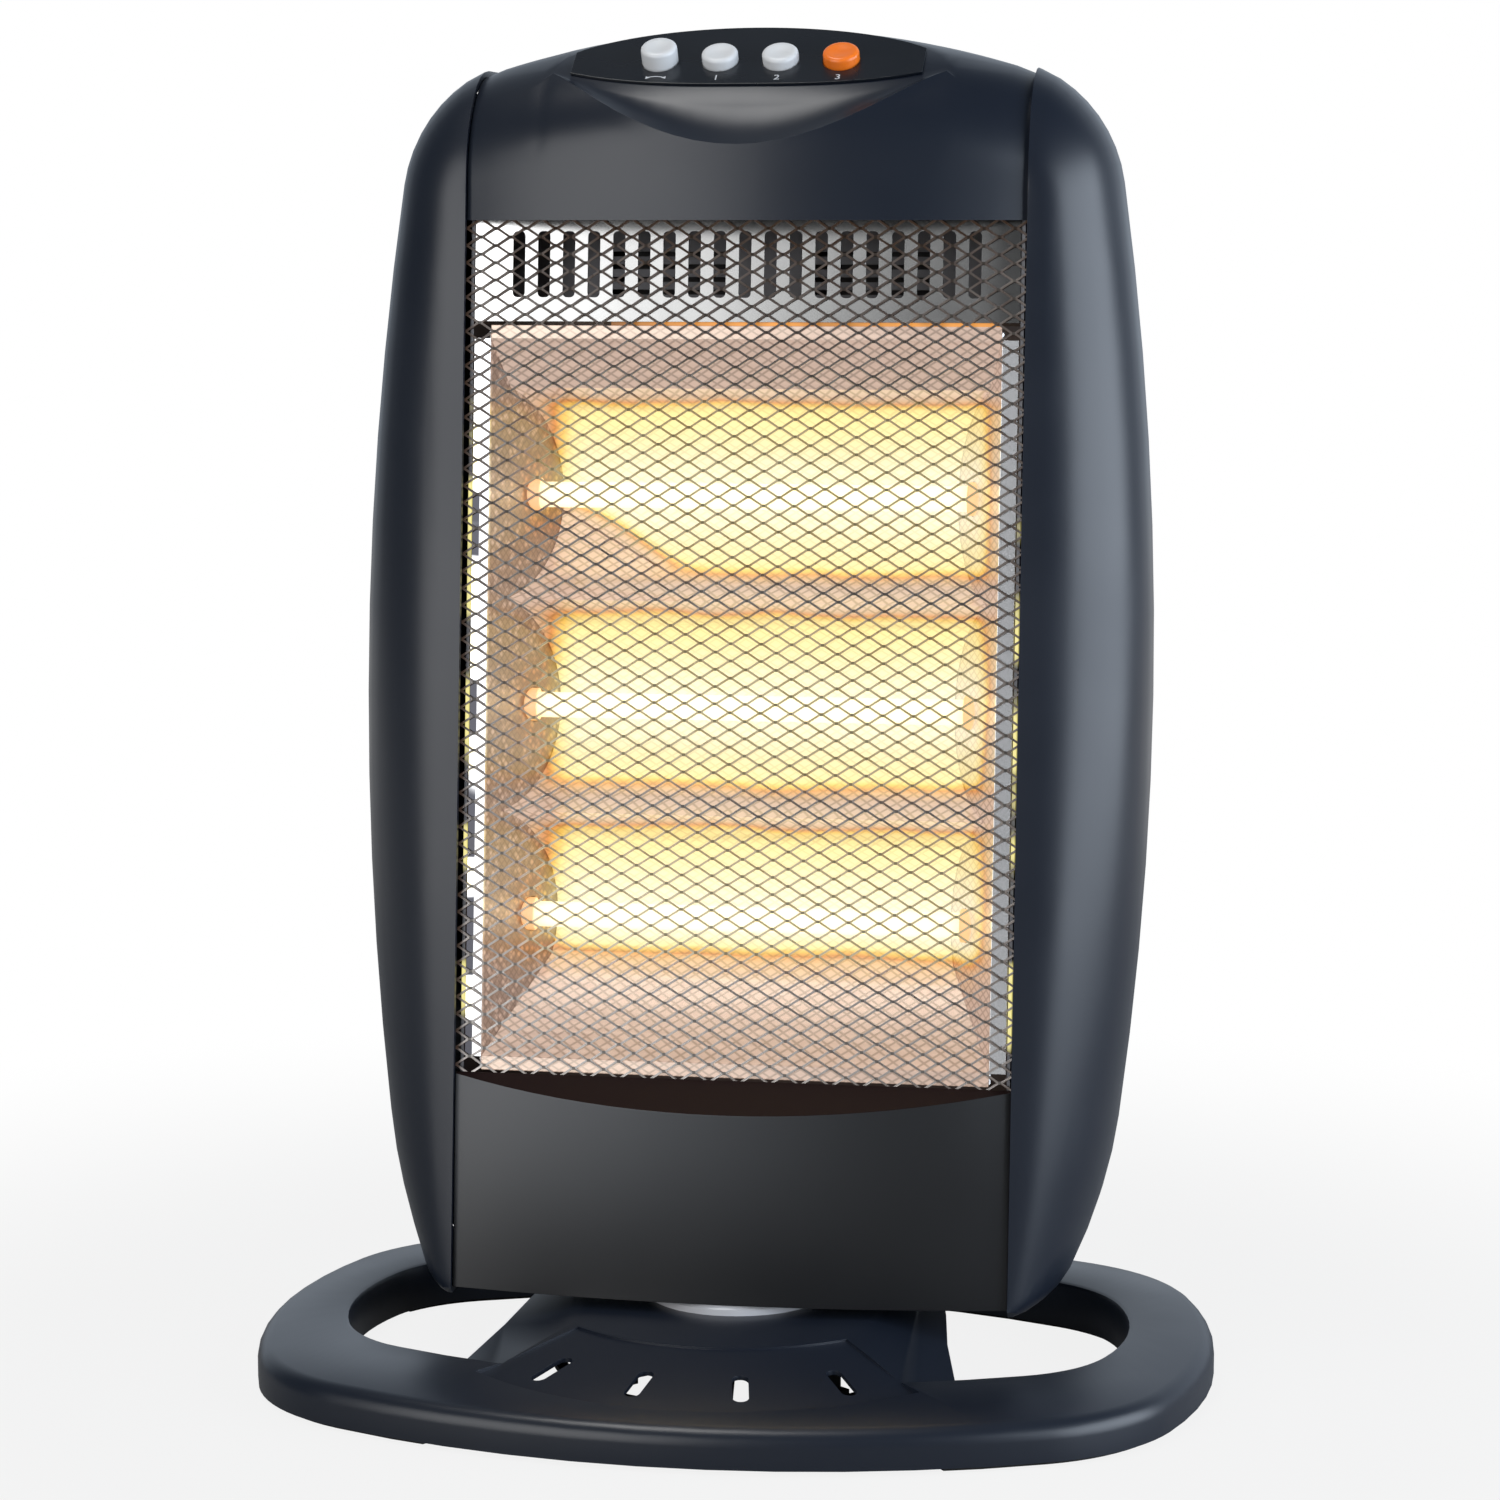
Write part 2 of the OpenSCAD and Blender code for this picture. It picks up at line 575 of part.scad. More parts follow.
module button_heat_1() {
    on_deck(button_x(1)) button(button_h - button_latch, [0.8, 0.8, 0.82]);
}
module button_heat_2() {
    on_deck(button_x(2)) button(button_h - button_latch, [0.8, 0.8, 0.82]);
}
module button_heat_3() {
    on_deck(button_x(3)) button(button_h - button_latch, [0.95, 0.38, 0.05]);
}
module switch_bracket() {
    color([0.3, 0.3, 0.32]) on_deck() difference() {
        union() {
            translate([-52, -9, -bracket_d]) cube([104, 18, 1.6]);
            for (s = [-1, 1]) translate([s * 49 - 3, -5, -bracket_d])
                cube([6, 10, bracket_d - shell - 0.2]);
        }
        for (i = [0:3]) translate([button_x(i), 0, -bracket_d - 1]) cylinder(r = 3, h = 4);
    }
}
module switch_bodies() {
    color([0.1, 0.1, 0.11]) on_deck() for (i = [0:3]) translate([button_x(i), 0, 0]) difference() {
        union() {
            translate([-6.5, -6.5, -bracket_d - switch_h]) cube([13, 13, switch_h]);
            for (s = [-3, 3]) translate([s - 0.4, -2.5, -bracket_d - switch_h - 6])
                cube([0.8, 5, 6.5]);
        }
        translate([0, 0, -bracket_d - switch_h + 1.5]) cylinder(r = 2.46, h = switch_h);
    }
}

// ---------- guard, vent plate and reflector ----------

// Half width of the mesh, tucked behind the front edges of the side covers
mesh_half = window_half + 3.6;
mesh_w0 = -2.5;
mesh_w1 = window_h + 3;
mesh_edge = 4;
mesh_h = mesh_w1 - mesh_w0;
// One family of parallel strands, cut to a rectangle that stops short of the edges
module strands(side, short) {
    a = atan2(cell_h, cell_w);
    n = ceil((2 * mesh_half / cell_w + mesh_h / cell_h) / 2);
    intersection() {
        translate([-mesh_half + short, short]) square([2 * (mesh_half - short), mesh_h - 2 * short]);
        translate([0, mesh_h / 2]) union() for (i = [-n:n])
            translate([i * cell_w, 0]) rotate(side * a) square([900, strand], center = true);
    }
}
// Diamond mesh: two layers of flat strands, the front one inside an edge frame
module mesh_guard() {
    color([0.3, 0.29, 0.24]) on_lean(0, mesh_v + mesh_t, mesh_w0) rotate([90, 0, 0]) {
        linear_extrude(mesh_t / 2 - eps) strands(1, 0.5);
        translate([0, 0, mesh_t / 2 + eps]) linear_extrude(mesh_t / 2 - eps) {
            strands(-1, mesh_edge + eps);
            difference() {
                translate([-mesh_half, 0]) square([2 * mesh_half, mesh_h]);
                translate([-mesh_half + mesh_edge, mesh_edge])
                    square([2 * (mesh_half - mesh_edge), mesh_h - 2 * mesh_edge]);
            }
        }
    }
}
lamps = [for (i = [0:2]) lamp_first + i * lamp_pitch];
trough_half = lamp_pitch / 2;
refl_bottom = 6;
refl_top = lamps[2] + trough_half + refl_rise;
vent_w0 = refl_top + lip_w + 1.5;
vent_w1 = vent_w0 + vent_h;
flange_half = window_half - 2.6;
module vent_plate() {
    color([0.78, 0.78, 0.77]) on_lean() difference() {
        union() {
            translate([-flange_half, chassis_front, vent_w0])
                cube([2 * flange_half, sheet, vent_w1 - vent_w0]);
            translate([-flange_half, chassis_front, vent_w0]) cube([2 * flange_half, 16, sheet]);
        }
        for (i = [0:vent_n - 1]) let (x = (i - (vent_n - 1) / 2) * vent_pitch)
            translate([x, chassis_front - 1, vent_w0 + 10]) {
                translate([-vent_w / 2, 0, vent_w / 2]) cube([vent_w, 5, vent_l - vent_w]);
                for (z = [vent_w / 2, vent_l - vent_w / 2])
                    translate([0, 0, z]) rotate([-90, 0, 0]) cylinder(r = vent_w / 2, h = 5);
            }
    }
}
trough_r = (trough_half * trough_half + trough_d * trough_d) / (2 * trough_d);
trough_c = ridge_v + trough_d - trough_r;
refl_front = chassis_front;
// Below the lowest lamp the trough goes over into the sloping bottom wall
low_cut = 17;
function trough_arc(w, lo, hi, t) =
    [for (a = steps(lo, hi, 10)) [trough_c, w] + (trough_r + t) * dir(a)];
// Section of the reflector in depth and height, from the bottom up, set back by t
function refl_path(t) = let (h = asin(trough_half / (trough_r + t)), l = asin(low_cut / trough_r))
    concat([[refl_front, refl_bottom - t * sqrt(2)]],
        drop_last(trough_arc(lamps[0], -l, h, t)), drop_last(trough_arc(lamps[1], -h, h, t)),
        trough_arc(lamps[2], -h, h, t), [[refl_front, refl_top + t]]);
// Cuts away what lies outside the splayed end plates, set off by d
module beyond_ends(d) {
    for (s = [0, 1]) mirror([s, 0, 0]) translate([mouth_half + d, refl_front, -60])
        rotate([0, 0, splay]) translate([0, -40, 0]) cube([60, 130, 500]);
}
module lean_section(half) {
    translate([-half, 0, 0]) rotate([90, 0, 90]) linear_extrude(2 * half) children();
}
module reflector() {
    color([0.85, 0.74, 0.52]) on_lean() {
        difference() {
            lean_section(mouth_half + 2) polygon(concat(refl_path(0),
                [for (i = [len(refl_path(sheet)) - 1:-1:0]) refl_path(sheet)[i]]));
            beyond_ends(-0.05);
        }
        for (w = [refl_top + sheet / 2, refl_bottom - sheet / 2 - lip_w])
            translate([-mouth_half + 2, refl_front, w]) cube([2 * mouth_half - 4, sheet, lip_w]);
    }
}
module reflector_end() {
    color([0.7, 0.66, 0.6]) on_lean() difference() {
        union() {
            translate([mouth_half, refl_front, refl_bottom])
                cube([flange_half - mouth_half, sheet, refl_top - refl_bottom]);
            intersection() {
                lean_section(mouth_half + 5) polygon(refl_path(3));
                translate([mouth_half, refl_front, -60]) rotate([0, 0, splay]) cube([sheet, 90, 500]);
            }
        }
        for (w = lamps) translate([0, lamp_v, w]) rotate([0, 90, 0]) cylinder(r = cap_r + 0.3, h = 120);
    }
}
module reflector_end_right() {
    reflector_end();
}
module reflector_end_left() {
    mirror([1, 0, 0]) reflector_end();
}

// ---------- lamps ----------

cap_r = 6.5;
cap_l = 18;
cap_x = 84;
module each_lamp() {
    for (w = lamps) on_lean(0, lamp_v, w) rotate([0, 90, 0]) children();
}
module lamp_tubes() {
    color([0.9, 0.88, 0.82]) each_lamp() difference() {
        cylinder(r = tube_r, h = 2 * cap_x + 8, center = true);
        cylinder(r = tube_r - tube_wall, h = 2 * cap_x + 2, center = true);
    }
}
module lamp_filaments() {
    color([1, 0.85, 0.5]) each_lamp() {
        cylinder(r = 1.3, h = 2 * cap_x - 14, center = true);
        for (s = [-1, 1]) translate([0, 0, s * (cap_x - 4)])
            cylinder(r = 0.4, h = 10, center = true);
        for (x = [-55:27.5:55]) translate([0, 0, x]) difference() {
            cylinder(r = tube_r - tube_wall - 0.05, h = 0.8, center = true);
            cylinder(r = 1.25, h = 2, center = true);
        }
    }
}
module lamp_caps() {
    color([0.88, 0.86, 0.8]) each_lamp() for (s = [0, 1]) mirror([0, 0, s]) translate([0, 0, cap_x])
        rotate_extrude() polygon([[tube_r + 0.05, 0], [cap_r, 0], [cap_r, cap_l - 2],
            [cap_r - 2, cap_l], [0, cap_l], [0, 4.1], [tube_r + 0.05, 4.1]]);
}
holder_x = 92;
holder_t = 1.5;
// Steel strip with three spring clips behind each end plate
module lamp_holders() {
    color([0.6, 0.6, 0.6]) on_lean() for (s = [0, 1]) mirror([s, 0, 0]) difference() {
        union() {
            translate([holder_x, chassis_v - chassis_t - 12, lamps[0] - 20])
                cube([holder_t, 12 - seat, 2 * lamp_pitch + 40]);
            for (w = lamps) translate([holder_x, lamp_v - 9, w - 9])
                cube([holder_t, chassis_v - chassis_t - 12.5 - lamp_v + 10, 18]);
        }
        for (w = lamps) translate([0, lamp_v, w]) rotate([0, 90, 0]) cylinder(r = cap_r + 0.05, h = 120);
    }
}

// ---------- chassis ----------

chassis_half = window_half - 1;
chassis_w0 = -4;
chassis_w1 = vent_w1 + 2.5;
module chassis() {
    color([0.55, 0.56, 0.57]) on_lean() difference() {
        translate([-chassis_half, chassis_front, chassis_w0])
            cube([2 * chassis_half, chassis_d, chassis_w1 - chassis_w0]);
        translate([-chassis_half + chassis_t, chassis_front - 1, chassis_w0 + chassis_t])
            cube([2 * (chassis_half - chassis_t), chassis_d + 1 - chassis_t,
                chassis_w1 - chassis_w0 - 2 * chassis_t]);
        for (i = [0:7], s = [-1, 1]) translate([s * 40 - 25, chassis_front + chassis_d - 5, refl_top + 1 + i * 5])
            cube([50, 10, 2]);
    }
}
module thermal_cutout() {
    color([0.75, 0.74, 0.7]) on_lean(0, chassis_v + 0.05, 180) rotate([-90, 0, 0]) {
        cylinder(r = 8, h = 5);
        translate([-12, -3.5, 0]) cube([24, 7, 0.8]);
        for (s = [-5, 5]) translate([s - 0.4, -3, 5 - eps]) cube([0.8, 6, 6]);
    }
}
bracket_x = 88;
module chassis_brackets() {
    color([0.55, 0.56, 0.57]) for (s = [0, 1]) mirror([s, 0, 0]) difference() {
        union() {
            translate([bracket_x, 4, pan_top]) cube([1.5, 34, 90]);
            translate([bracket_x - 14, 4, pan_top]) cube([15, 34, 1.5]);
        }
        on_lean(-200, -100, chassis_w0) cube([400, 300, 300]);
        translate([bracket_x - 8, 21, pan_top - 1]) cylinder(r = 1.7, h = 5);
    }
}

// ---------- head pan, swivel and drive ----------

function pan_front(x) = low_face(x, head_bottom).y + shell + 0.5;
pan_half = window_half - 0.6;
pan_x = steps(-pan_half, pan_half, 16);
pan_rear = part_y(head_bottom);
module pan_plan(inset) {
    polygon(concat([for (x = pan_x) [x * (1 - inset / pan_half), pan_front(x) + inset]],
        [[pan_half - inset, pan_rear - inset], [-pan_half + inset, pan_rear - inset]]));
}
module head_pan() {
    color([0.13, 0.13, 0.15]) difference() {
        translate([0, 0, head_bottom]) linear_extrude(pan_t) pan_plan(0);
        translate([0, 0, head_bottom - 1]) cylinder(r = collar_r + 0.1, h = pan_t + 2);
        for (a = collar_screw_a) rotate(a) translate([collar_r + 5, 0, head_bottom - 1])
            cylinder(r = 1.7, h = pan_t + 2);
        for (s = [-1, 1]) translate([s * (bracket_x - 8), 21, head_bottom - 1])
            cylinder(r = 1.7, h = pan_t + 2);
    }
}
collar_screw_a = [-25, 35, 145, 205];
collar_bottom = 14.2;
sleeve_bottom = 14.4;
retainer_t = 2.4;
module swivel_collar() {
    color([0.75, 0.75, 0.76]) difference() {
        union() {
            translate([0, 0, collar_bottom]) cylinder(r = collar_r, h = pan_top + 2.5 - collar_bottom);
            translate([0, 0, pan_top]) linear_extrude(2.5) intersection() {
                circle(r = collar_r + 10);
                pan_plan(seat);
            }
        }
        translate([0, 0, collar_bottom - 1]) difference() {
            cylinder(r = collar_r - collar_wall, h = 40);
            for (a = retainer_screw_a) rotate(a) translate([collar_r - 5.5, 0, 0])
                cylinder(r = 3.6, h = 12);
        }
        for (a = retainer_screw_a) rotate(a) translate([collar_r - 5.5, 0, collar_bottom - 1])
            cylinder(r = 1.3, h = 10);
        for (a = collar_screw_a) rotate(a) translate([collar_r + 5, 0, pan_top - 1])
            cylinder(r = 1.7, h = 5);
    }
}
retainer_screw_a = [20, 160, 270];
module swivel_retainer() {
    color([0.72, 0.72, 0.7]) translate([0, 0, collar_bottom - retainer_t]) difference() {
        cylinder(r = collar_r + 4.5, h = retainer_t);
        translate([0, 0, -1]) cylinder(r = collar_r - 9, h = 6);
        translate([0, crank_l, -1]) cylinder(r = 7, h = 6);
        for (a = retainer_screw_a) rotate(a) translate([collar_r - 5.5, 0, -1])
            cylinder(r = 1.6, h = 6);
    }
}
module swivel_screws() {
    color([0.65, 0.65, 0.66]) {
        for (a = retainer_screw_a) rotate(a)
            translate([collar_r - 5.5, 0, collar_bottom - retainer_t - 1.2]) {
                cylinder(r = 2.6, h = 1.2);
                cylinder(r = 1.25, h = 10);
            }
        for (a = collar_screw_a) rotate(a) translate([collar_r + 5, 0, pan_top + 2.5]) {
            cylinder(r = 3, h = 1.8);
            translate([0, 0, -4.5]) cylinder(r = 1.6, h = 5);
        }
    }
}
module pan_screws() {
    color([0.65, 0.65, 0.66]) for (s = [-1, 1])
        translate([s * (bracket_x - 8), 21, pan_top + 1.5]) {
            cylinder(r = 3, h = 1.8);
            translate([0, 0, -3.5]) cylinder(r = 1.6, h = 4);
        }
}
motor_boss_r = 4.4;
motor_z = pan_top;
module swing_motor() {
    color([0.7, 0.7, 0.68]) difference() {
        union() {
            translate([0, crank_l + 6, motor_z + 2.5]) cylinder(r = 24, h = 16);
            translate([0, crank_l, motor_z - 3]) cylinder(r = motor_boss_r, h = 8);
            translate([-35, crank_l + 1, motor_z + 2.5]) cube([70, 10, 1.2]);
        }
        translate([0, crank_l, motor_z - 4]) cylinder(r = 2.56, h = 14);
        for (s = [-1, 1]) translate([s * 30, crank_l + 6, motor_z]) cylinder(r = 1.7, h = 8);
    }
}
module motor_screws() {
    color([0.65, 0.65, 0.66]) for (s = [-1, 1]) translate([s * 30, crank_l + 6, motor_z + 3.7]) {
        cylinder(r = 3, h = 1.8);
        translate([0, 0, -1.2]) cylinder(r = 1.65, h = 2);
    }
}
crank_z = 7.6;
crank_t = 3;
module motor_shaft() {
    color([0.8, 0.8, 0.8]) translate([0, crank_l, crank_z + 1]) cylinder(r = 2.5, h = motor_z + 8 - crank_z);
}
module crank() {
    color([0.9, 0.9, 0.86]) difference() {
        union() {
            translate([0, crank_l, crank_z]) cylinder(r = 4.2, h = motor_z - 4 - crank_z);
            translate([0, crank_l, crank_z]) linear_extrude(crank_t) union() {
                circle(r = 4.2);
                translate([-3.4, 0]) square([6.8, crank_r]);
                translate([0, crank_r]) circle(r = 3.4);
            }
            translate([0, crank_l + crank_r, crank_z - 3.2]) cylinder(r = crank_pin_r, h = 4);
        }
        translate([0, crank_l, crank_z + 0.98]) cylinder(r = 2.52, h = 40);
    }
}
module terminal_block() {
    color([0.9, 0.9, 0.88]) difference() {
        translate([-66, 6, pan_top]) cube([24, 18, 12]);
        for (i = [0:2]) translate([-62 + i * 8, 15, pan_top + 4]) cylinder(r = 1.8, h = 10);
    }
}

// ---------- base ----------

base_a = base_w / 2;
base_b = base_d / 2;
open_a = opening_w / 2;
open_b = opening_d / 2;
base_z = foot_t;
module base_plan(inset = 0) {
    polygon(oval_points(base_a - inset, base_b - inset, base_corner_r - inset));
}
module opening_plan(grow = 0) {
    polygon(oval_points(open_a + grow, open_b + grow, opening_corner_r + grow));
}
module bridge_plan(inset = 0) {
    f = base_b - 12 - inset;
    polygon([[-bridge_front - 6 + inset, -f], [bridge_front + 6 - inset, -f],
        [bridge_front - inset, -open_b + 12], [bridge_mid + 4 - inset, -30], [bridge_mid - inset, 0],
        [bridge_rear + 6 - inset, open_b - 26], [bridge_rear + 10 - inset, f],
        [-bridge_rear - 10 + inset, f], [-bridge_rear - 6 + inset, open_b - 26],
        [-bridge_mid + inset, 0], [-bridge_mid - 4 + inset, -30], [-bridge_front + inset, -open_b + 12]]);
}
rim_round = 7;
rim_end = 80;
edge_round = 2;
// Section of the ring, from the outer edge up, over to the opening and back inside:
// the oval it follows (0 outer, 1 opening), its distance from that oval, and the height
function rim_arc(t, n) = [for (a = steps(0, rim_end, n))
    [0, rim_round - (rim_round - t) * cos(a), rim_z - rim_round + (rim_round - t) * sin(a)]];
rim_rows = concat([[0, 0, foot_t]], rim_arc(0, 5),
    [for (a = steps(0, 90, 2)) [1, edge_round * (1 - sin(a)), ring_z - edge_round * (1 - cos(a))]],
    [[1, 0, foot_t], [1, base_wall, foot_t], [1, base_wall, ring_z - base_wall]],
    [for (i = [3:-1:0]) rim_arc(base_wall, 3)[i]], [[0, base_wall, foot_t]]);
module ring_body() {
    m = len(rim_rows);
    polyhedron(
        points = [for (q = rim_rows) each [for (p = q[0] == 0
            ? oval_points(base_a - q[1], base_b - q[1], base_corner_r - q[1])
            : oval_points(open_a + q[1], open_b + q[1], opening_corner_r + q[1])) [p.x, p.y, q[2]]]],
        faces = [for (i = [0:m - 1], j = [0:oval_n - 1], k = [0, 1])
            let (a = i * oval_n + j, b = i * oval_n + (j + 1) % oval_n,
                c = ((i + 1) % m) * oval_n + (j + 1) % oval_n, d = ((i + 1) % m) * oval_n + j)
            k == 0 ? [a, c, b] : [a, d, c]],
        convexity = 6);
}
// The bridge and hub between the rings, or their hollow where a wall is given
module bridge_solid(wall) {
    z0 = wall > 0 ? foot_t - 5 : foot_t;
    run = base_b - hub_r;
    drop = wall;
    difference() {
        intersection() {
            translate([0, 0, z0]) linear_extrude(hub_z - z0) bridge_plan(wall);
            translate([0, 0, -drop]) rotate_extrude($fn = 180) polygon([[0, z0], [hub_r + run, z0],
                [hub_r + run, hub_z - apron_slope * run], [hub_r, hub_z], [0, hub_z]]);
        }
        for (s = [0, 1]) mirror([s, 0, 0]) translate([flank_x, flank_y, hub_z - drop])
            rotate([flank_turn, flank_a, 0]) translate([-200, -200, 0]) cube([400, 400, 60]);
    }
}
foot_a = [-90 - foot_angle, -90 + foot_angle, 90 - foot_angle, 90 + foot_angle];
// Band of the ring over a foot pad, reduced all round by the inset
module foot_plan(inset) {
    intersection() {
        difference() {
            base_plan(inset);
            opening_plan(inset);
        }
        union() for (a = foot_a) let (h = foot_span / 2 - inset / 3) polygon([[0, 0],
            300 * dir(a - h), 320 * dir(a), 300 * dir(a + h)]);
    }
}
deck_in = hub_z - base_wall;
boss_r = 60;
boss_a = [45, 135, 225, 315];
plate_t = 2;
plate_top = foot_t + plate_t;
module apron_slots() {
    for (i = [-1.5:1.5]) rotate(-90 + i * apron_slot_step) translate([hub_r + 21, 0, 5]) {
        translate([apron_slot_w / 2, -apron_slot_w / 2, 0])
            cube([apron_slot_l - apron_slot_w, apron_slot_w, 30]);
        for (x = [apron_slot_w / 2, apron_slot_l - apron_slot_w / 2])
            translate([x, 0, 0]) cylinder(r = apron_slot_w / 2, h = 30);
    }
}
module base_shell() {
    color([0.14, 0.16, 0.2]) difference() {
        union() {
            difference() {
                union() {
                    ring_body();
                    bridge_solid(0);
                }
                bridge_solid(base_wall);
            }
            translate([0, 0, foot_t]) linear_extrude(base_wall) foot_plan(base_wall - 0.5);
            translate([0, 0, sleeve_bottom]) cylinder(r = sleeve_r, h = deck_in + 0.5 - sleeve_bottom);
            for (a = boss_a) rotate(a) translate([boss_r, 0, plate_top])
                cylinder(r = 4.5, h = deck_in + 0.5 - plate_top);
        }
        translate([0, 0, foot_t - 1]) cylinder(r = collar_r + swivel_clear, h = hub_z);
        rotate(-90 - apron_half) rotate_extrude(angle = 2 * apron_half, $fn = 180)
            polygon([[hub_r + 1.5, apron_top(hub_r + 1.5) - panel_sink],
                [apron_r, apron_top(apron_r) - panel_sink], [apron_r, 40], [hub_r + 1.5, 40]]);
        apron_slots();
        for (a = boss_a) rotate(a) translate([boss_r, 0, foot_t]) cylinder(r = 1.7, h = 14);
    }
}
panel_sink = 0.8;
function apron_top(r) = hub_z - apron_slope * (r - hub_r);
apron_slope = (hub_z - rim_z - 1) / (apron_r - hub_r);
flank_x = 56;
flank_y = -42;
flank_a = 17.2;
flank_turn = 3.4;
sleeve_r = collar_r + 3.5;
module foot_pads() {
    color([0.07, 0.07, 0.07]) linear_extrude(foot_t) foot_plan(base_wall + 1.5);
}
plunger_y = -48;
plunger_r = 3.5;
plunger_travel = 4;
module hub_bottom_plate() {
    color([0.12, 0.13, 0.15]) difference() {
        union() {
            translate([0, 0, foot_t]) cylinder(r = hub_r - 3, h = plate_t);
            translate([0, plunger_y, foot_t]) cylinder(r = plunger_r + 2.5, h = 6);
        }
        translate([0, plunger_y, foot_t - 1]) cylinder(r = plunger_r + 0.06, h = 10);
        for (a = boss_a) rotate(a) translate([boss_r, 0, foot_t - 1]) cylinder(r = 1.8, h = 5);
    }
}
module base_screws() {
    color([0.65, 0.65, 0.66]) for (a = boss_a) rotate(a) translate([boss_r, 0, foot_t - 1.4]) {
        cylinder(r = 3.2, h = 1.4);
        cylinder(r = 1.6, h = 12);
    }
}
glide_r = collar_r + 5;
module glide_ring() {
    color([0.82, 0.82, 0.83]) translate([0, 0, hub_z]) rotate_extrude() polygon([
        [collar_r + 0.3, 0], [glide_r, 0], [glide_r, 2.4], [glide_r - 1, 3.4],
        [glide_r - 1, head_bottom - seat - hub_z], [collar_r + 0.3, head_bottom - seat - hub_z]]);
}
module yoke_plate() {
    color([0.85, 0.85, 0.82]) difference() {
        translate([-15, 6, plate_top]) cube([30, 42, 3]);
        translate([-yoke_slot_w / 2, 18.5, plate_top - 1]) cube([yoke_slot_w, 21, 6]);
    }
}
module tip_switch() {
    color([0.1, 0.1, 0.11]) difference() {
        union() {
            translate([-10, plunger_y - 7, deck_in - 11]) cube([20, 14, 11]);
            for (s = [-8, 8]) translate([s - 0.4, plunger_y + 7 - eps, deck_in - 8])
                cube([0.8, 5, 4]);
        }
        translate([0, plunger_y, deck_in - 12]) cylinder(r = 2.06, h = 9);
    }
}
module tip_plunger() {
    color([0.75, 0.2, 0.15]) translate([0, plunger_y, 0]) rotate_extrude() polygon([[0, 0],
        [plunger_r - 1, 0], [plunger_r, 1], [plunger_r, foot_t + 6 + plunger_travel],
        [plunger_r + 1.6, foot_t + 6 + plunger_travel], [plunger_r + 1.6, foot_t + 7.2 + plunger_travel],
        [2, foot_t + 7.2 + plunger_travel], [2, deck_in - 6], [0, deck_in - 6]]);
}

base_shell();
hub_bottom_plate();
foot_pads();
base_screws();
glide_ring();
yoke_plate();
tip_switch();
tip_plunger();
swivel_collar();
swivel_retainer();
swivel_screws();
head_pan();
pan_screws();
side_cover_left();
side_cover_right();
top_cover();
lower_cover();
rear_cover();
rear_screws();
cord_gland();
control_panel();
switch_bracket();
switch_bodies();
button_swing();
button_heat_1();
button_heat_2();
button_heat_3();
mesh_guard();
vent_plate();
reflector();
reflector_end_left();
reflector_end_right();
lamp_tubes();
lamp_filaments();
lamp_caps();
lamp_holders();
chassis();
chassis_brackets();
thermal_cutout();
terminal_block();
swing_motor();
motor_screws();
motor_shaft();
crank();
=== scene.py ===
# Halogen heater: the finishes and the fine pieces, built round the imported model.
# Lengths are in metres; the heater stands on the floor, and its front faces -Y.
import math

import bmesh
import bpy
from mathutils import Matrix, Vector


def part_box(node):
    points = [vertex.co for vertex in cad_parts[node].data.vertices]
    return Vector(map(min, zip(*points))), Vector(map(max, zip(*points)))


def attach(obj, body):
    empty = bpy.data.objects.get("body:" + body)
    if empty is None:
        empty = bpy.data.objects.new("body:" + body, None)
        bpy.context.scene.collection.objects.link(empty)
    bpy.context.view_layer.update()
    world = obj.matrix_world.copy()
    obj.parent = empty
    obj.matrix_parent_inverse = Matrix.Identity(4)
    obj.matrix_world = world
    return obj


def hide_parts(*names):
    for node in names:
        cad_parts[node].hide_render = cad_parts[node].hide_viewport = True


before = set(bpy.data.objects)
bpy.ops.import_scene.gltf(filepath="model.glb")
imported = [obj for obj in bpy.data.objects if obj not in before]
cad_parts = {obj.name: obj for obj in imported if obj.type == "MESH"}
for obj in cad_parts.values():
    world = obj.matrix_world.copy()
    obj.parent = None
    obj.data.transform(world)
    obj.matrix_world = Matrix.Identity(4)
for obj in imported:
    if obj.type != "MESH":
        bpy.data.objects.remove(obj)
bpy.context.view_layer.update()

# ---------- camera ----------
# A long lens that looks down a little, from the right of the heater's middle.

swing_right = math.radians(9.41)
look_down = math.radians(7.53)
photo_camera = bpy.data.cameras.new("photo_camera")
photo_camera.sensor_width = 36
photo_camera.lens = 94.85
camera = bpy.data.objects.new("camera", photo_camera)
bpy.context.scene.collection.objects.link(camera)
camera.location = (0.2502, -1.479, 0.4395)
gaze = Vector((-math.sin(swing_right) * math.cos(look_down),
               math.cos(swing_right) * math.cos(look_down), -math.sin(look_down)))
camera.rotation_euler = gaze.to_track_quat("-Z", "Y").to_euler()
bpy.context.scene.camera = camera
bpy.context.scene.view_settings.view_transform = "Standard"

# ---------- studio: floor, sky and lamps ----------
# A matt floor that fades into the white of the room, darker under the heater. Two broad
# soft panels light the barrel sides, and a smaller one above lights the deck and the base.


def nodes_of(name):
    """A new material with an empty node tree, its tree and its output."""
    material = bpy.data.materials.new(name)
    material.use_nodes = True
    tree = material.node_tree
    tree.nodes.clear()
    return material, tree, tree.nodes.new("ShaderNodeOutputMaterial")


def node(tree, kind, settings=None, **inputs):
    """A shader node with its settings, and its sockets set or linked by name or as i0, i1."""
    made = tree.nodes.new("ShaderNode" + kind)
    for key, value in (settings or {}).items():
        setattr(made, key, value)
    for key, value in inputs.items():
        numbered = key[0] == "i" and key[1:].isdigit()
        socket = made.inputs[int(key[1:]) if numbered else key.replace("_", " ")]
        if isinstance(value, bpy.types.NodeSocket):
            tree.links.new(value, socket)
        else:
            socket.default_value = value
    return made


def math_node(tree, how, a, b=0.0, c=0.0):
    """The result of a Math node on up to three values."""
    return node(tree, "Math", {"operation": how}, i0=a, i1=b, i2=c).outputs["Value"]


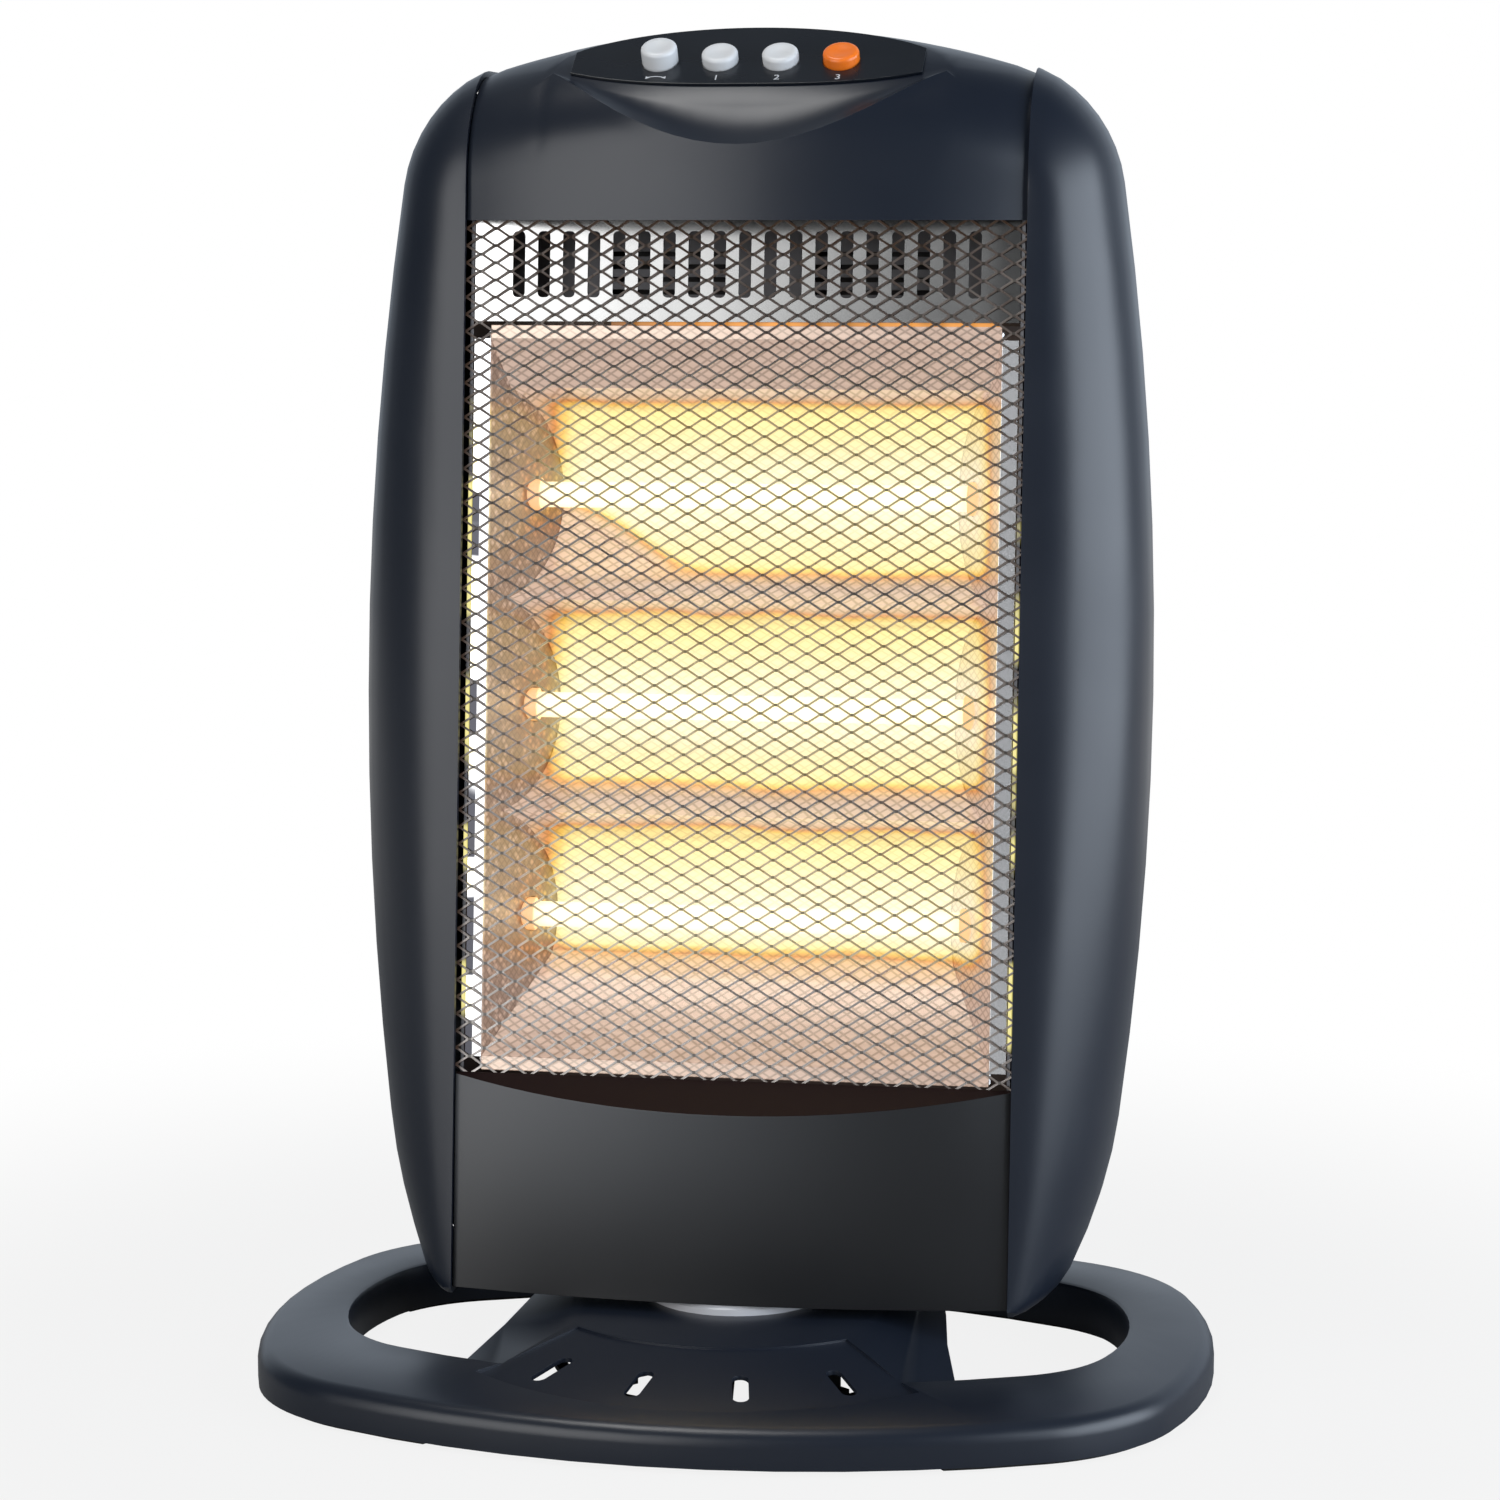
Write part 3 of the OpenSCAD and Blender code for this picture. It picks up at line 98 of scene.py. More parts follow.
def times(tree, first, *others):
    """The product of all the values."""
    for other in others:
        first = math_node(tree, "MULTIPLY", first, other)
    return first


def ease(tree, value, low, high, start=0.0, end=1.0):
    """A smooth step: start where the value is low, end where it is high."""
    return node(tree, "MapRange", {"interpolation_type": "SMOOTHSTEP"}, Value=value, From_Min=low,
                From_Max=high, To_Min=start, To_Max=end).outputs["Result"]


def axes(tree, place):
    """The X, Y and Z of a place."""
    return node(tree, "SeparateXYZ", Vector=place).outputs


def floor_paint():
    """Grey to the lamps, and white to the camera and to mirrors from some way off."""
    material, tree, out = nodes_of("studio_floor")
    place = node(tree, "NewGeometry").outputs["Position"]
    far = node(tree, "VectorMath", {"operation": "LENGTH"}, i0=place).outputs["Value"]
    rays = node(tree, "LightPath").outputs
    seen = times(tree, rays["Is Camera Ray"], ease(tree, far, 0.25, 0.7, 0.86, 1.0))
    mirrored = times(tree, rays["Is Glossy Ray"], ease(tree, far, 0.7, 2.0, 0.05, 0.6))
    amount = math_node(tree, "MAXIMUM", seen, mirrored)
    matt = node(tree, "BsdfDiffuse", Color=(0.3, 0.3, 0.3, 1)).outputs["BSDF"]
    white = node(tree, "Emission", Color=(1, 1, 1, 1), Strength=1.0).outputs["Emission"]
    both = node(tree, "MixShader", i0=amount, i1=matt, i2=white).outputs["Shader"]
    tree.links.new(both, out.inputs["Surface"])
    return material


floor_disc = bmesh.new()
bmesh.ops.create_circle(floor_disc, cap_ends=True, segments=96, radius=6)
floor_mesh = bpy.data.meshes.new("studio_floor")
floor_disc.to_mesh(floor_mesh)
floor_disc.free()
floor_mesh.materials.append(floor_paint())
floor = bpy.data.objects.new("studio_floor", floor_mesh)
bpy.context.scene.collection.objects.link(floor)

world = bpy.data.worlds.new("studio_sky")
bpy.context.scene.world = world
world.use_nodes = True
sky = world.node_tree
sky.nodes.clear()
toward = axes(sky, node(sky, "TexCoord").outputs["Generated"])
behind = ease(sky, toward["Y"], 0.3, 0.95, 0.1, 0.8)
pale_sky = node(sky, "Background", Color=(0.78, 0.88, 1.0, 1), Strength=behind)
white_sky = node(sky, "Background", Color=(1, 1, 1, 1), Strength=1.0)
sky_mix = node(sky, "MixShader", i0=node(sky, "LightPath").outputs["Is Camera Ray"],
               i1=pale_sky.outputs["Background"], i2=white_sky.outputs["Background"])
sky_out = sky.nodes.new("ShaderNodeOutputWorld")
sky.links.new(sky_mix.outputs["Shader"], sky_out.inputs["Surface"])


def soft_panel(name, place, width, height, power, color):
    """A soft rectangular lamp that is aimed at the heater's middle."""
    light = bpy.data.lights.new(name, "AREA")
    light.color = color
    light.shape = "RECTANGLE"
    light.size = width
    light.size_y = height
    light.energy = power
    lamp = bpy.data.objects.new(name, light)
    bpy.context.scene.collection.objects.link(lamp)
    lamp.location = place
    aim = Vector((0, 0, 0.25)) - Vector(place)
    lamp.rotation_euler = aim.to_track_quat("-Z", "Y").to_euler()


soft_panel("left_panel", (-1.06, -1.70, 0.70), 1.7, 1.4, 22, (1.0, 1.0, 1.0))
soft_panel("right_panel", (1.76, -0.37, 0.60), 2.2, 1.3, 52, (0.80, 0.89, 1.0))
soft_panel("high_panel", (-0.42, -0.34, 2.10), 0.8, 0.6, 13, (1.0, 0.99, 0.97))

# ---------- base: ring, bridge and hub ----------
# One injection moulding in charcoal plastic with a satin, finely grained skin. Its outer
# edge is rounded, and the apron over the front has four through slots.


def object_space(tree):
    """The place in the piece's own coordinates, which stay with it in every pose."""
    return node(tree, "TexCoord").outputs["Object"]


def noise(tree, place, scale, detail, **more):
    """Soft random patches, from 0 to 1."""
    return node(tree, "TexNoise", Vector=place, Scale=scale, Detail=detail,
                **more).outputs["Fac"]


def mixed(tree, amount, low, high, how="MIX"):
    """Two colours laid over each other by an amount."""
    return node(tree, "Mix", {"data_type": "RGBA", "blend_type": how}, i0=amount, i6=low,
                i7=high).outputs[2]


def plastic(name, color, rough, grain=0.25, shine=0.5, scale=1400):
    """Moulded plastic: faint cloudy colour, fine skin grain, and gloss that varies a little."""
    material, tree, out = nodes_of(name)
    place = object_space(tree)
    cloud = noise(tree, place, 9, 3, Roughness=0.6)
    pores = noise(tree, place, scale, 2, Roughness=0.5)
    low = [part * 0.9 for part in color] + [1]
    high = [min(1, part * 1.12) for part in color] + [1]
    gloss = ease(tree, cloud, 0.1, 0.9, rough - 0.05, rough + 0.05)
    bump = node(tree, "Bump", Strength=grain, Distance=0.00004, Height=pores).outputs["Normal"]
    skin = node(tree, "BsdfPrincipled", Base_Color=mixed(tree, cloud, low, high), Roughness=gloss,
                Normal=bump, Specular_IOR_Level=shine).outputs["BSDF"]
    tree.links.new(skin, out.inputs["Surface"])
    return material


def put(name, bm, body, material, smooth=35, edge=0.0, cad=()):
    """Makes a finished object of a bmesh: smooth faces, sharp corners, a fine bevel."""
    for face in bm.faces:
        face.smooth = True
    sharp = math.radians(smooth)
    for line in bm.edges:
        line.smooth = len(line.link_faces) == 2 and line.calc_face_angle(0) < sharp
    mesh = bpy.data.meshes.new(name)
    bm.to_mesh(mesh)
    bm.free()
    mesh.materials.append(material)
    piece = bpy.data.objects.new(name, mesh)
    bpy.context.scene.collection.objects.link(piece)
    if edge:
        bevel = piece.modifiers.new("edge", "BEVEL")
        bevel.width = edge
        bevel.segments = 2
        bevel.limit_method = "ANGLE"
        bevel.angle_limit = sharp
        bevel.harden_normals = True
    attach(piece, body)
    if cad:
        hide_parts(*cad)
    return piece


def recast(name, cad, body, material, edge=0.0):
    """A CAD node's shape with its flat faces joined, its edges bevelled and its finish on."""
    bm = bmesh.new()
    bm.from_mesh(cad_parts[cad].data)
    bmesh.ops.remove_doubles(bm, verts=bm.verts, dist=2e-6)
    bmesh.ops.dissolve_limit(bm, angle_limit=math.radians(0.3), verts=bm.verts, edges=bm.edges)
    return put(name, bm, body, material, edge=edge, cad=(cad,))


moulded_edge = 0.0004
charcoal = plastic("charcoal_casing", (0.0070, 0.0105, 0.0190), rough=0.34)
recast("base_moulding", "base_shell", "base", charcoal, edge=moulded_edge)

# ---------- parts under and inside the base ----------
# A black bottom plate with curved windows behind the apron's slots, rubber feet, the slide
# ring under the head, the slotted yoke plate, and the tip switch with its plunger.


def carve(piece, cutter):
    """Cuts the shape of a bmesh out of a piece."""
    mesh = bpy.data.meshes.new("cutter")
    cutter.to_mesh(mesh)
    cutter.free()
    tool = bpy.data.objects.new("cutter", mesh)
    bpy.context.scene.collection.objects.link(tool)
    piece.modifiers.new("cut", "BOOLEAN").object = tool
    bpy.context.view_layer.update()
    carved = bpy.data.meshes.new_from_object(piece.evaluated_get(
        bpy.context.evaluated_depsgraph_get()))
    piece.modifiers.clear()
    piece.data = carved
    bpy.data.objects.remove(tool)
    bpy.data.meshes.remove(mesh)


def finish(material, *nodes):
    """Gives CAD nodes that keep their shape their finish."""
    for name in nodes:
        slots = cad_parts[name].data.materials
        slots.clear()
        slots.append(material)


black = plastic("black_plastic", (0.018, 0.018, 0.020), rough=0.5, grain=0.4)
rubber = plastic("foot_rubber", (0.014, 0.014, 0.014), rough=0.75, grain=0.6, scale=900)
acetal = plastic("slide_plastic", (0.55, 0.55, 0.57), rough=0.3, grain=0.1)
nylon = plastic("natural_nylon", (0.72, 0.70, 0.64), rough=0.4, grain=0.15)
finish(rubber, "foot_pads")
finish(acetal, "glide_ring")
finish(nylon, "yoke_plate")
finish(black, "tip_switch")
finish(plastic("plunger_red", (0.45, 0.04, 0.02), rough=0.4), "tip_plunger")

plate = recast("vented_bottom_plate", "hub_bottom_plate", "base", black)
cut_from, cut_depth = 0.001, 0.004
# each window: from and to an angle in degrees, from and to a distance from the axis
plate_windows = ((-127, -98, 0.030, 0.0695), (-134, -120, 0.030, 0.052),
                 (-82, -53, 0.030, 0.0695), (-50, -38, 0.0655, 0.0695),
                 (-40, 40, 0.040, 0.067), (140, 220, 0.040, 0.067))
for first_turn, last_turn, inner, outer in plate_windows:
    window = bmesh.new()
    sheet = bmesh.ops.create_grid(window, x_segments=24, y_segments=1, size=1)["verts"]
    for corner in sheet:
        turn = math.radians(first_turn + (last_turn - first_turn) * (corner.co.x + 1) / 2)
        radius = inner + (outer - inner) * (corner.co.y + 1) / 2
        corner.co = (radius * math.cos(turn), radius * math.sin(turn), cut_from)
    for corner in bmesh.ops.extrude_face_region(window, geom=window.faces[:])["geom"]:
        if isinstance(corner, bmesh.types.BMVert):
            corner.co.z += cut_depth
    bmesh.ops.recalc_face_normals(window, faces=window.faces)
    carve(plate, window)
# the plunger's guide ends a hair under the plunger's flange
guide_top, guide_gap = 0.0075, 0.0001
for corner in plate.data.vertices:
    if corner.co.z > guide_top:
        corner.co.z -= guide_gap

# ---------- head: the covers, the floor and the inlet ----------
# Injection mouldings in the same charcoal plastic, butted along fine seams. The lower cover
# and the back are darker and plain, but for a highlight painted on the lower cover's upper
# left; the ledge over the lower cover is a matt brown black that paints its shade and the
# glow's reddish reflection.

seam_edge = 0.00015
for side in ("left", "right"):
    recast("side_moulding_" + side, "side_cover_" + side, "head", charcoal,
           edge=seam_edge)
recast("top_moulding", "top_cover", "head", charcoal, edge=seam_edge)


def dark_casing():
    """Dark grey plastic, with a painted highlight towards the upper left of the front."""
    material = plastic("dark_casing", (0.0050, 0.0053, 0.0066), rough=0.34, shine=0.6)
    tree = material.node_tree
    color = tree.nodes["Principled BSDF"].inputs["Base Color"]
    where = axes(tree, object_space(tree))
    # painted highlight: a lighter grey towards the upper left of the front, where a lamp's
    # highlight falls
    painted_highlight = times(tree, ease(tree, where["X"], 0.09, -0.10), ease(tree, where["Z"], 0.03, 0.115),
                  ease(tree, where["Y"], 0.02, 0.0))
    highlighted = mixed(tree, painted_highlight, color.links[0].from_socket, (0.105, 0.107, 0.112, 1))
    tree.links.new(highlighted, color)
    return material


dark = dark_casing()
lower_moulding = recast("lower_moulding", "lower_cover", "head", dark,
                        edge=seam_edge)
# the ledge's matt brown black is painted shade, with the glow's reddish reflection painted in
ledge_painted_shade = plastic("ledge_painted_shade", (0.010, 0.004, 0.004), rough=0.7, shine=0.1)
lower_moulding.data.materials.append(ledge_painted_shade)
ledge_z, nearly_level = 0.105, 0.85
for face in lower_moulding.data.polygons:
    if face.normal.z > nearly_level and face.center.z > ledge_z:
        face.material_index = 1
recast("rear_moulding", "rear_cover", "head", dark, edge=moulded_edge)
finish(black, "head_pan")
finish(rubber, "cord_gland")

# ---------- control panel ----------
# A thin navy plate of satin plastic set into the sloping deck, with a fine bevelled edge.
# Plain marks are printed in pale grey: a swing arrow, and the numbers of the heat steps.

panel_navy = plastic("panel_navy", (0.003, 0.005, 0.009), rough=0.28, grain=0.15)
recast("panel_plate", "control_panel", "head", panel_navy, edge=0.00025)

deck_slope, deck_front, deck_half = math.radians(34), 0.018, 0.017
deck_y = deck_front + deck_half * math.cos(deck_slope)
deck_z = max(corner.co.z - (corner.co.y - deck_y) * math.tan(deck_slope)
             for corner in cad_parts["control_panel"].data.vertices)
deck = Matrix.Translation((0, deck_y, deck_z)) @ Matrix.Rotation(deck_slope, 4, "X")
button_pitch = 0.0234
print_depth, print_lift, arrow_lift = 0.00003, 0.00004, 0.00005
printing = plastic("pale_printing", (0.55, 0.57, 0.60), rough=0.5, grain=0.05)


def printed(name, text, x, y, size):
    """A flat printed text on the deck, a hair above the plate."""
    curve = bpy.data.curves.new(name, "FONT")
    curve.body = text
    curve.size = size
    curve.align_x = "CENTER"
    curve.extrude = print_depth
    words = bpy.data.objects.new(name, curve)
    bpy.context.scene.collection.objects.link(words)
    bpy.context.view_layer.update()
    flat = bpy.data.meshes.new_from_object(words.evaluated_get(
        bpy.context.evaluated_depsgraph_get()))
    bpy.data.objects.remove(words)
    bpy.data.curves.remove(curve)
    bm = bmesh.new()
    bm.from_mesh(flat)
    bpy.data.meshes.remove(flat)
    bm.transform(deck @ Matrix.Translation((x, y, print_lift)))
    put(name, bm, "head", printing)


number_y, number_size = -0.0140, 0.0048
for step in (1, 2, 3):
    printed("step_number_%d" % step, str(step), (step - 1.5) * button_pitch, number_y,
            number_size)

arrow_size, arrow_y, arrow_rise, arrow_bend = (0.0062, 0.0005), -0.0126, 0.0012, 70
tip_size, tip_x, tip_y, tip_depth = 0.0011, 0.0033, 0.0004, 0.00002
arrow = bmesh.new()
bmesh.ops.create_grid(arrow, x_segments=12, y_segments=1, size=0.5)
arrow.transform(Matrix.Diagonal((*arrow_size, 1, 1)))
for corner in arrow.verts:
    corner.co.y += arrow_rise - arrow_bend * corner.co.x ** 2
for side in (-1, 1):
    tip = bmesh.ops.create_cone(arrow, cap_ends=True, segments=3, radius1=tip_size,
                                radius2=tip_size, depth=tip_depth)["verts"]
    bmesh.ops.rotate(arrow, verts=tip, cent=(0, 0, 0),
                     matrix=Matrix.Rotation(math.radians(-60 + 30 * side), 3, "Z"))
    bmesh.ops.translate(arrow, verts=tip, vec=(side * tip_x, tip_y, 0))
arrow.transform(deck @ Matrix.Translation((-1.5 * button_pitch, arrow_y, arrow_lift)))
put("swing_arrow", arrow, "head", printing)

# ---------- push buttons ----------
# Moulded caps with a soft rim and a shallow dish: three grey ones, and an orange one for
# full heat. The heat buttons are latched down. Their stems run down into the switches.

cap_r, cap_h, cap_rim = 0.007, 0.0109, 0.0016
stem_r, stem_end = 0.0022, -0.0170
dish_steps = ((0.0012, 0.0001), (0.0016, 0.0003), (0.0016, 0.0002))
free_top, latched_top = 0.0065, 0.0040
button_grey = plastic("button_grey", (0.68, 0.69, 0.70), rough=0.32, grain=0.1)
button_orange = plastic("button_orange", (0.90, 0.19, 0.015), rough=0.32, grain=0.1)
for place, (cad, cap_top, slot, material) in enumerate((
        ("button_swing", free_top, "button_grey", button_grey),
        ("button_heat_1", latched_top, "button_grey", button_grey),
        ("button_heat_2", latched_top, "button_grey", button_grey),
        ("button_heat_3", latched_top, "button_orange", button_orange))):
    cap = bmesh.new()
    bmesh.ops.create_cone(cap, cap_ends=True, segments=64, radius1=cap_r, radius2=cap_r,
                          depth=cap_h)
    bmesh.ops.translate(cap, verts=cap.verts, vec=(0, 0, cap_top - cap_h / 2))
    top = max(cap.faces, key=lambda face: face.calc_center_median().z)
    bmesh.ops.bevel(cap, geom=list(top.edges), affect="EDGES", offset=cap_rim, segments=6,
                    profile=0.5, material=-1)
    top = max(cap.faces, key=lambda face: (face.calc_center_median().z, len(face.verts)))
    for inset, sink in dish_steps:
        bmesh.ops.inset_region(cap, faces=[top], thickness=inset, depth=0)
        bmesh.ops.translate(cap, verts=top.verts, vec=(0, 0, -sink))
    stem_top = cap_top - cap_h
    stem = bmesh.ops.create_cone(cap, cap_ends=True, segments=32, radius1=stem_r, radius2=stem_r,
                                 depth=stem_top - stem_end)["verts"]
    bmesh.ops.translate(cap, verts=stem, vec=(0, 0, (stem_top + stem_end) / 2))
    cap.transform(deck @ Matrix.Translation(((place - 1.5) * button_pitch, 0, 0)))
    put(cad + "_cap", cap, cad, material, cad=(cad,))
finish(black, "switch_bodies")

# ---------- mesh guard ----------
# One sheet of expanded steel, nickel plated: slanting strands that meet in longer knuckles,
# with a flat border that is held behind the covers. The warm light that falls on it from
# behind is painted on as a glow.

lean_foot, lean_turn = (0, -0.016, 0.115), math.radians(-5.68)
leaned = Matrix.Translation(lean_foot) @ Matrix.Rotation(lean_turn, 4, "X")
lowest_lamp, lamp_pitch = 0.060, 0.0825
lamp_w = [lowest_lamp + step * lamp_pitch for step in range(3)]


def lean_space(tree):
    """The place in the leaned frame: X across, Y depth and Z up along the front face."""
    return node(tree, "Mapping", {"vector_type": "TEXTURE"}, Vector=object_space(tree),
                Location=lean_foot, Rotation=(lean_turn, 0, 0)).outputs["Vector"]


def above_lamp(tree, up):
    """The height over the nearest lamp, from minus to plus half a pitch."""
    from_edge = math_node(tree, "SUBTRACT", up, lowest_lamp - lamp_pitch / 2)
    ring = math_node(tree, "FLOORED_MODULO", from_edge, lamp_pitch)
    return math_node(tree, "SUBTRACT", ring, lamp_pitch / 2)


def heat(tree):
    """How strongly a place's painted glow shows, 0 on the ridges and walls and 1 at a lamp; and
    its height.
    """
    place = lean_space(tree)
    blur = node(tree, "TexNoise", Vector=place, Scale=22, Detail=2).outputs["Color"]
    where = axes(tree, mixed(tree, 0.003, place, blur, "LINEAR_LIGHT"))
    across, up = where["X"], where["Z"]
    off = above_lamp(tree, up)
    # the painted glow in the top trough is weaker towards its lower left corner
    corner = times(tree, ease(tree, across, -0.015, -0.080, 0.0, 0.028),
                   ease(tree, up, 0.190, 0.200))
    low_edge = ease(tree, math_node(tree, "SUBTRACT", off, corner), -0.0370, -0.0255)
    high_edge = ease(tree, off, 0.0410, 0.0335)
    walls = times(tree, ease(tree, up, 0.037, 0.054), ease(tree, up, 0.270, 0.259))
    sides = times(tree, ease(tree, across, -0.096, -0.068), ease(tree, across, 0.1010, 0.087))
    middle = ease(tree, math_node(tree, "ABSOLUTE", off), 0.0, 0.042, 1.0, 0.55)
    return times(tree, low_edge, high_edge, walls, sides, middle), up


def glow_color(tree, amount, stops):
    """The colour of the painted glow at an amount, from a ramp of stops."""
    ramp = node(tree, "ValToRGB", Fac=amount)
    bar = ramp.color_ramp
    bar.elements.remove(bar.elements[1])
    bar.elements[0].position, bar.elements[0].color = stops[0][0], (*stops[0][1], 1)
    for spot, color in stops[1:]:
        bar.elements.new(spot).color = (*color, 1)
    return ramp.outputs["Color"]


def mesh_steel(name, color, rough, warm):
    """Plated steel with a cloudy gloss, and the lamps' light on it painted as a glow."""
    material, tree, out = nodes_of(name)
    cloud = noise(tree, object_space(tree), 140, 3)
    gloss = ease(tree, cloud, 0.3, 0.7, rough - 0.06, rough + 0.08)
    lit = glow_color(tree, heat(tree)[0], ((0.0, (0.05, 0.03, 0.02)), (0.35, (0.20, 0.09, 0.03)),
                                           (0.6, (0.30, 0.20, 0.05)), (1.0, (0.36, 0.29, 0.11))))
    skin = node(tree, "BsdfPrincipled", Base_Color=(*color, 1), Roughness=gloss, Metallic=1.0,
                Emission_Color=lit, Emission_Strength=warm).outputs["BSDF"]
    tree.links.new(skin, out.inputs["Surface"])
    return material


cell_w, cell_h = 0.0118, 0.0066
strand, bond, twist, swell = 0.0006, 0.0013, 0.00024, 0.00022
half_w, low_w, high_w, border_y = 0.1116, -0.0025, 0.3316, -0.0003
mid_w = (low_w + high_w) / 2
mesh_depth, mesh_sheet, rim_width, rim_lap = 0.0033, 0.0004, 0.0035, 0.0005
across_n = 2 * math.ceil(half_w / cell_w) + 4
up_n = 2 * math.ceil((high_w - low_w) / cell_h / 2) + 4
shift = (cell_w / 2 - bond) / 2
guard = bmesh.new()
bmesh.ops.create_grid(guard, x_segments=2 * across_n, y_segments=2 * up_n, size=1)
spots = {}
for corner in guard.verts:
    column = round((corner.co.x + 1) * across_n)
    row = round((corner.co.y + 1) * up_n)
    spots[corner] = (column, row)
    side = 1 if (column + row) % 2 == 0 else -1
    corner.co = ((column - across_n) * cell_w / 2 + side * shift, 0,
                 mid_w + (row - up_n) * cell_h / 2)


def crosses_hole(line):
    """Whether a line of the grid runs level across the middle of a hole."""
    (first_column, first_row), (last_column, last_row) = (spots[end] for end in line.verts)
    return (first_row == last_row and not line.is_boundary
            and (min(first_column, last_column) + first_row) % 2 == 1)


bmesh.ops.dissolve_edges(guard, edges=[line for line in guard.edges if crosses_hole(line)],
                         use_verts=False)
woven = set(guard.verts)
holes = [face for face in guard.faces if len(face.verts) == 6]
bmesh.ops.delete(guard, geom=[face for face in guard.faces if len(face.verts) != 6],
                 context="FACES")
rims = bmesh.ops.inset_individual(guard, faces=holes, thickness=strand / 2,
                                  use_even_offset=True)["faces"]
for hole in holes:
    middle_z = hole.calc_center_median().z
    for corner in hole.verts:
        rise = corner.co.z - middle_z
        corner.co.y = math.copysign(twist, -rise) if abs(rise) > cell_h / 8 else 0
for rim in rims:
    for line in rim.edges:
        a, b = line.verts
        if a in woven and b in woven and abs(a.co.z - b.co.z) < 1e-6:
            rim.material_index = 1
            for corner in rim.verts:
                if corner not in woven:
                    corner.co.z += math.copysign(swell, corner.co.z - a.co.z)
bmesh.ops.delete(guard, geom=holes, context="FACES_ONLY")
trim_w = half_w - rim_lap
for point, normal in (((trim_w, 0, 0), (1, 0, 0)), ((-trim_w, 0, 0), (-1, 0, 0)),
                      ((0, 0, high_w - rim_lap), (0, 0, 1)),
                      ((0, 0, low_w + rim_lap), (0, 0, -1))):
    bmesh.ops.bisect_plane(guard, geom=guard.verts[:] + guard.edges[:] + guard.faces[:],
                           plane_co=point, plane_no=normal, clear_outer=True)
border = bmesh.ops.create_grid(guard, x_segments=1, y_segments=1, size=1)["verts"]
for corner in border:
    corner.co = (corner.co.x * half_w, border_y, mid_w + corner.co.y * (high_w - low_w) / 2)
border_face = border[0].link_faces[0]
bmesh.ops.inset_region(guard, faces=[border_face], thickness=rim_width)
bmesh.ops.delete(guard, geom=[border_face], context="FACES")
bmesh.ops.recalc_face_normals(guard, faces=guard.faces)
bmesh.ops.solidify(guard, geom=guard.faces[:], thickness=mesh_sheet)
depths = [corner.co.y for corner in guard.verts]
bmesh.ops.translate(guard, verts=guard.verts,
                    vec=(0, mesh_depth - (min(depths) + max(depths)) / 2, 0))
guard.transform(leaned)
expanded_mesh = put("expanded_mesh", guard, "head",
                    mesh_steel("mesh_strands", (0.30, 0.29, 0.28), 0.3, 0.8),
                    cad=("mesh_guard",))
expanded_mesh.data.materials.append(mesh_steel("mesh_knuckles", (0.13, 0.13, 0.125), 0.35, 0.4))

# ---------- vent plate ----------
# Punched sheet of bright steel over the reflector, with a row of upright slots, and a
# reflection painted on it, light at the left and dark at the right. It is folded back along
# its lower edge, and the lamps' light along the fold is painted on a glowing strip.


def metal(name, color, rough=0.32, spread=0.12, scale=60):
    """Metal with cloudy gloss and fine rolling marks across X."""
    material, tree, out = nodes_of(name)
    place = object_space(tree)
    stretched = node(tree, "Mapping", Vector=place, Scale=(0.15, 1, 1)).outputs["Vector"]
    cloud = noise(tree, place, scale, 4)
    gloss = node(tree, "MapRange", Value=cloud, From_Min=0.3, From_Max=0.7,
                 To_Min=rough - spread / 2, To_Max=rough + spread / 2).outputs["Result"]
    tint = mixed(tree, cloud, [part * 0.85 for part in color] + [1], [*color, 1])
    ridges = node(tree, "Bump", Strength=0.05, Distance=0.00005,
                  Height=noise(tree, stretched, 1500, 2)).outputs["Normal"]
    skin = node(tree, "BsdfPrincipled", Base_Color=tint, Roughness=gloss, Metallic=1.0,
                Normal=ridges).outputs["BSDF"]
    tree.links.new(skin, out.inputs["Surface"])
    return material


def vent_steel():
    """Bright steel with a painted reflection: lighter at the left, darker towards the right."""
    material = metal("vent_steel", (0.85, 0.85, 0.84), rough=0.24, spread=0.08, scale=30)
    tree = material.node_tree
    color = tree.nodes["Principled BSDF"].inputs["Base Color"]
    across = axes(tree, lean_space(tree))["X"]
    # painted reflection: the base colour falls from light at the left to dark at the right
    fall = node(tree, "MapRange", Value=across, From_Min=-0.078, From_Max=0.085, To_Min=0.58,
                To_Max=0.27).outputs["Result"]
    painted_reflection = times(tree, fall, ease(tree, across, -0.100, -0.078, 1.7, 1.0),
                    ease(tree, across, 0.087, 0.101, 1.0, 0.5))
    tree.links.new(mixed(tree, 1.0, color.links[0].from_socket, painted_reflection, "MULTIPLY"), color)
    return material


slot_n, slot_pitch, slot_round = 19, 0.0098, 0.0018
slot_size, slot_y, slot_z = (0.0048, 0.0040, 0.0254), 0.0046, 0.3125
vent_sheet = recast("vent_sheet", "vent_plate", "head", vent_steel(),
                    edge=seam_edge)
slots = bmesh.new()
for step in range(slot_n):
    bar = bmesh.ops.create_cube(slots, size=1)["verts"]
    bmesh.ops.scale(slots, verts=bar, vec=slot_size)
    bmesh.ops.translate(slots, verts=bar,
                        vec=((step - (slot_n - 1) / 2) * slot_pitch, slot_y, slot_z))
through = [line for line in slots.edges
           if abs(line.verts[0].co.y - line.verts[1].co.y) > slot_size[1] / 2]
bmesh.ops.bevel(slots, geom=through, affect="EDGES", offset=slot_round, segments=4, profile=0.5)
slots.transform(leaned)
carve(vent_sheet, slots)


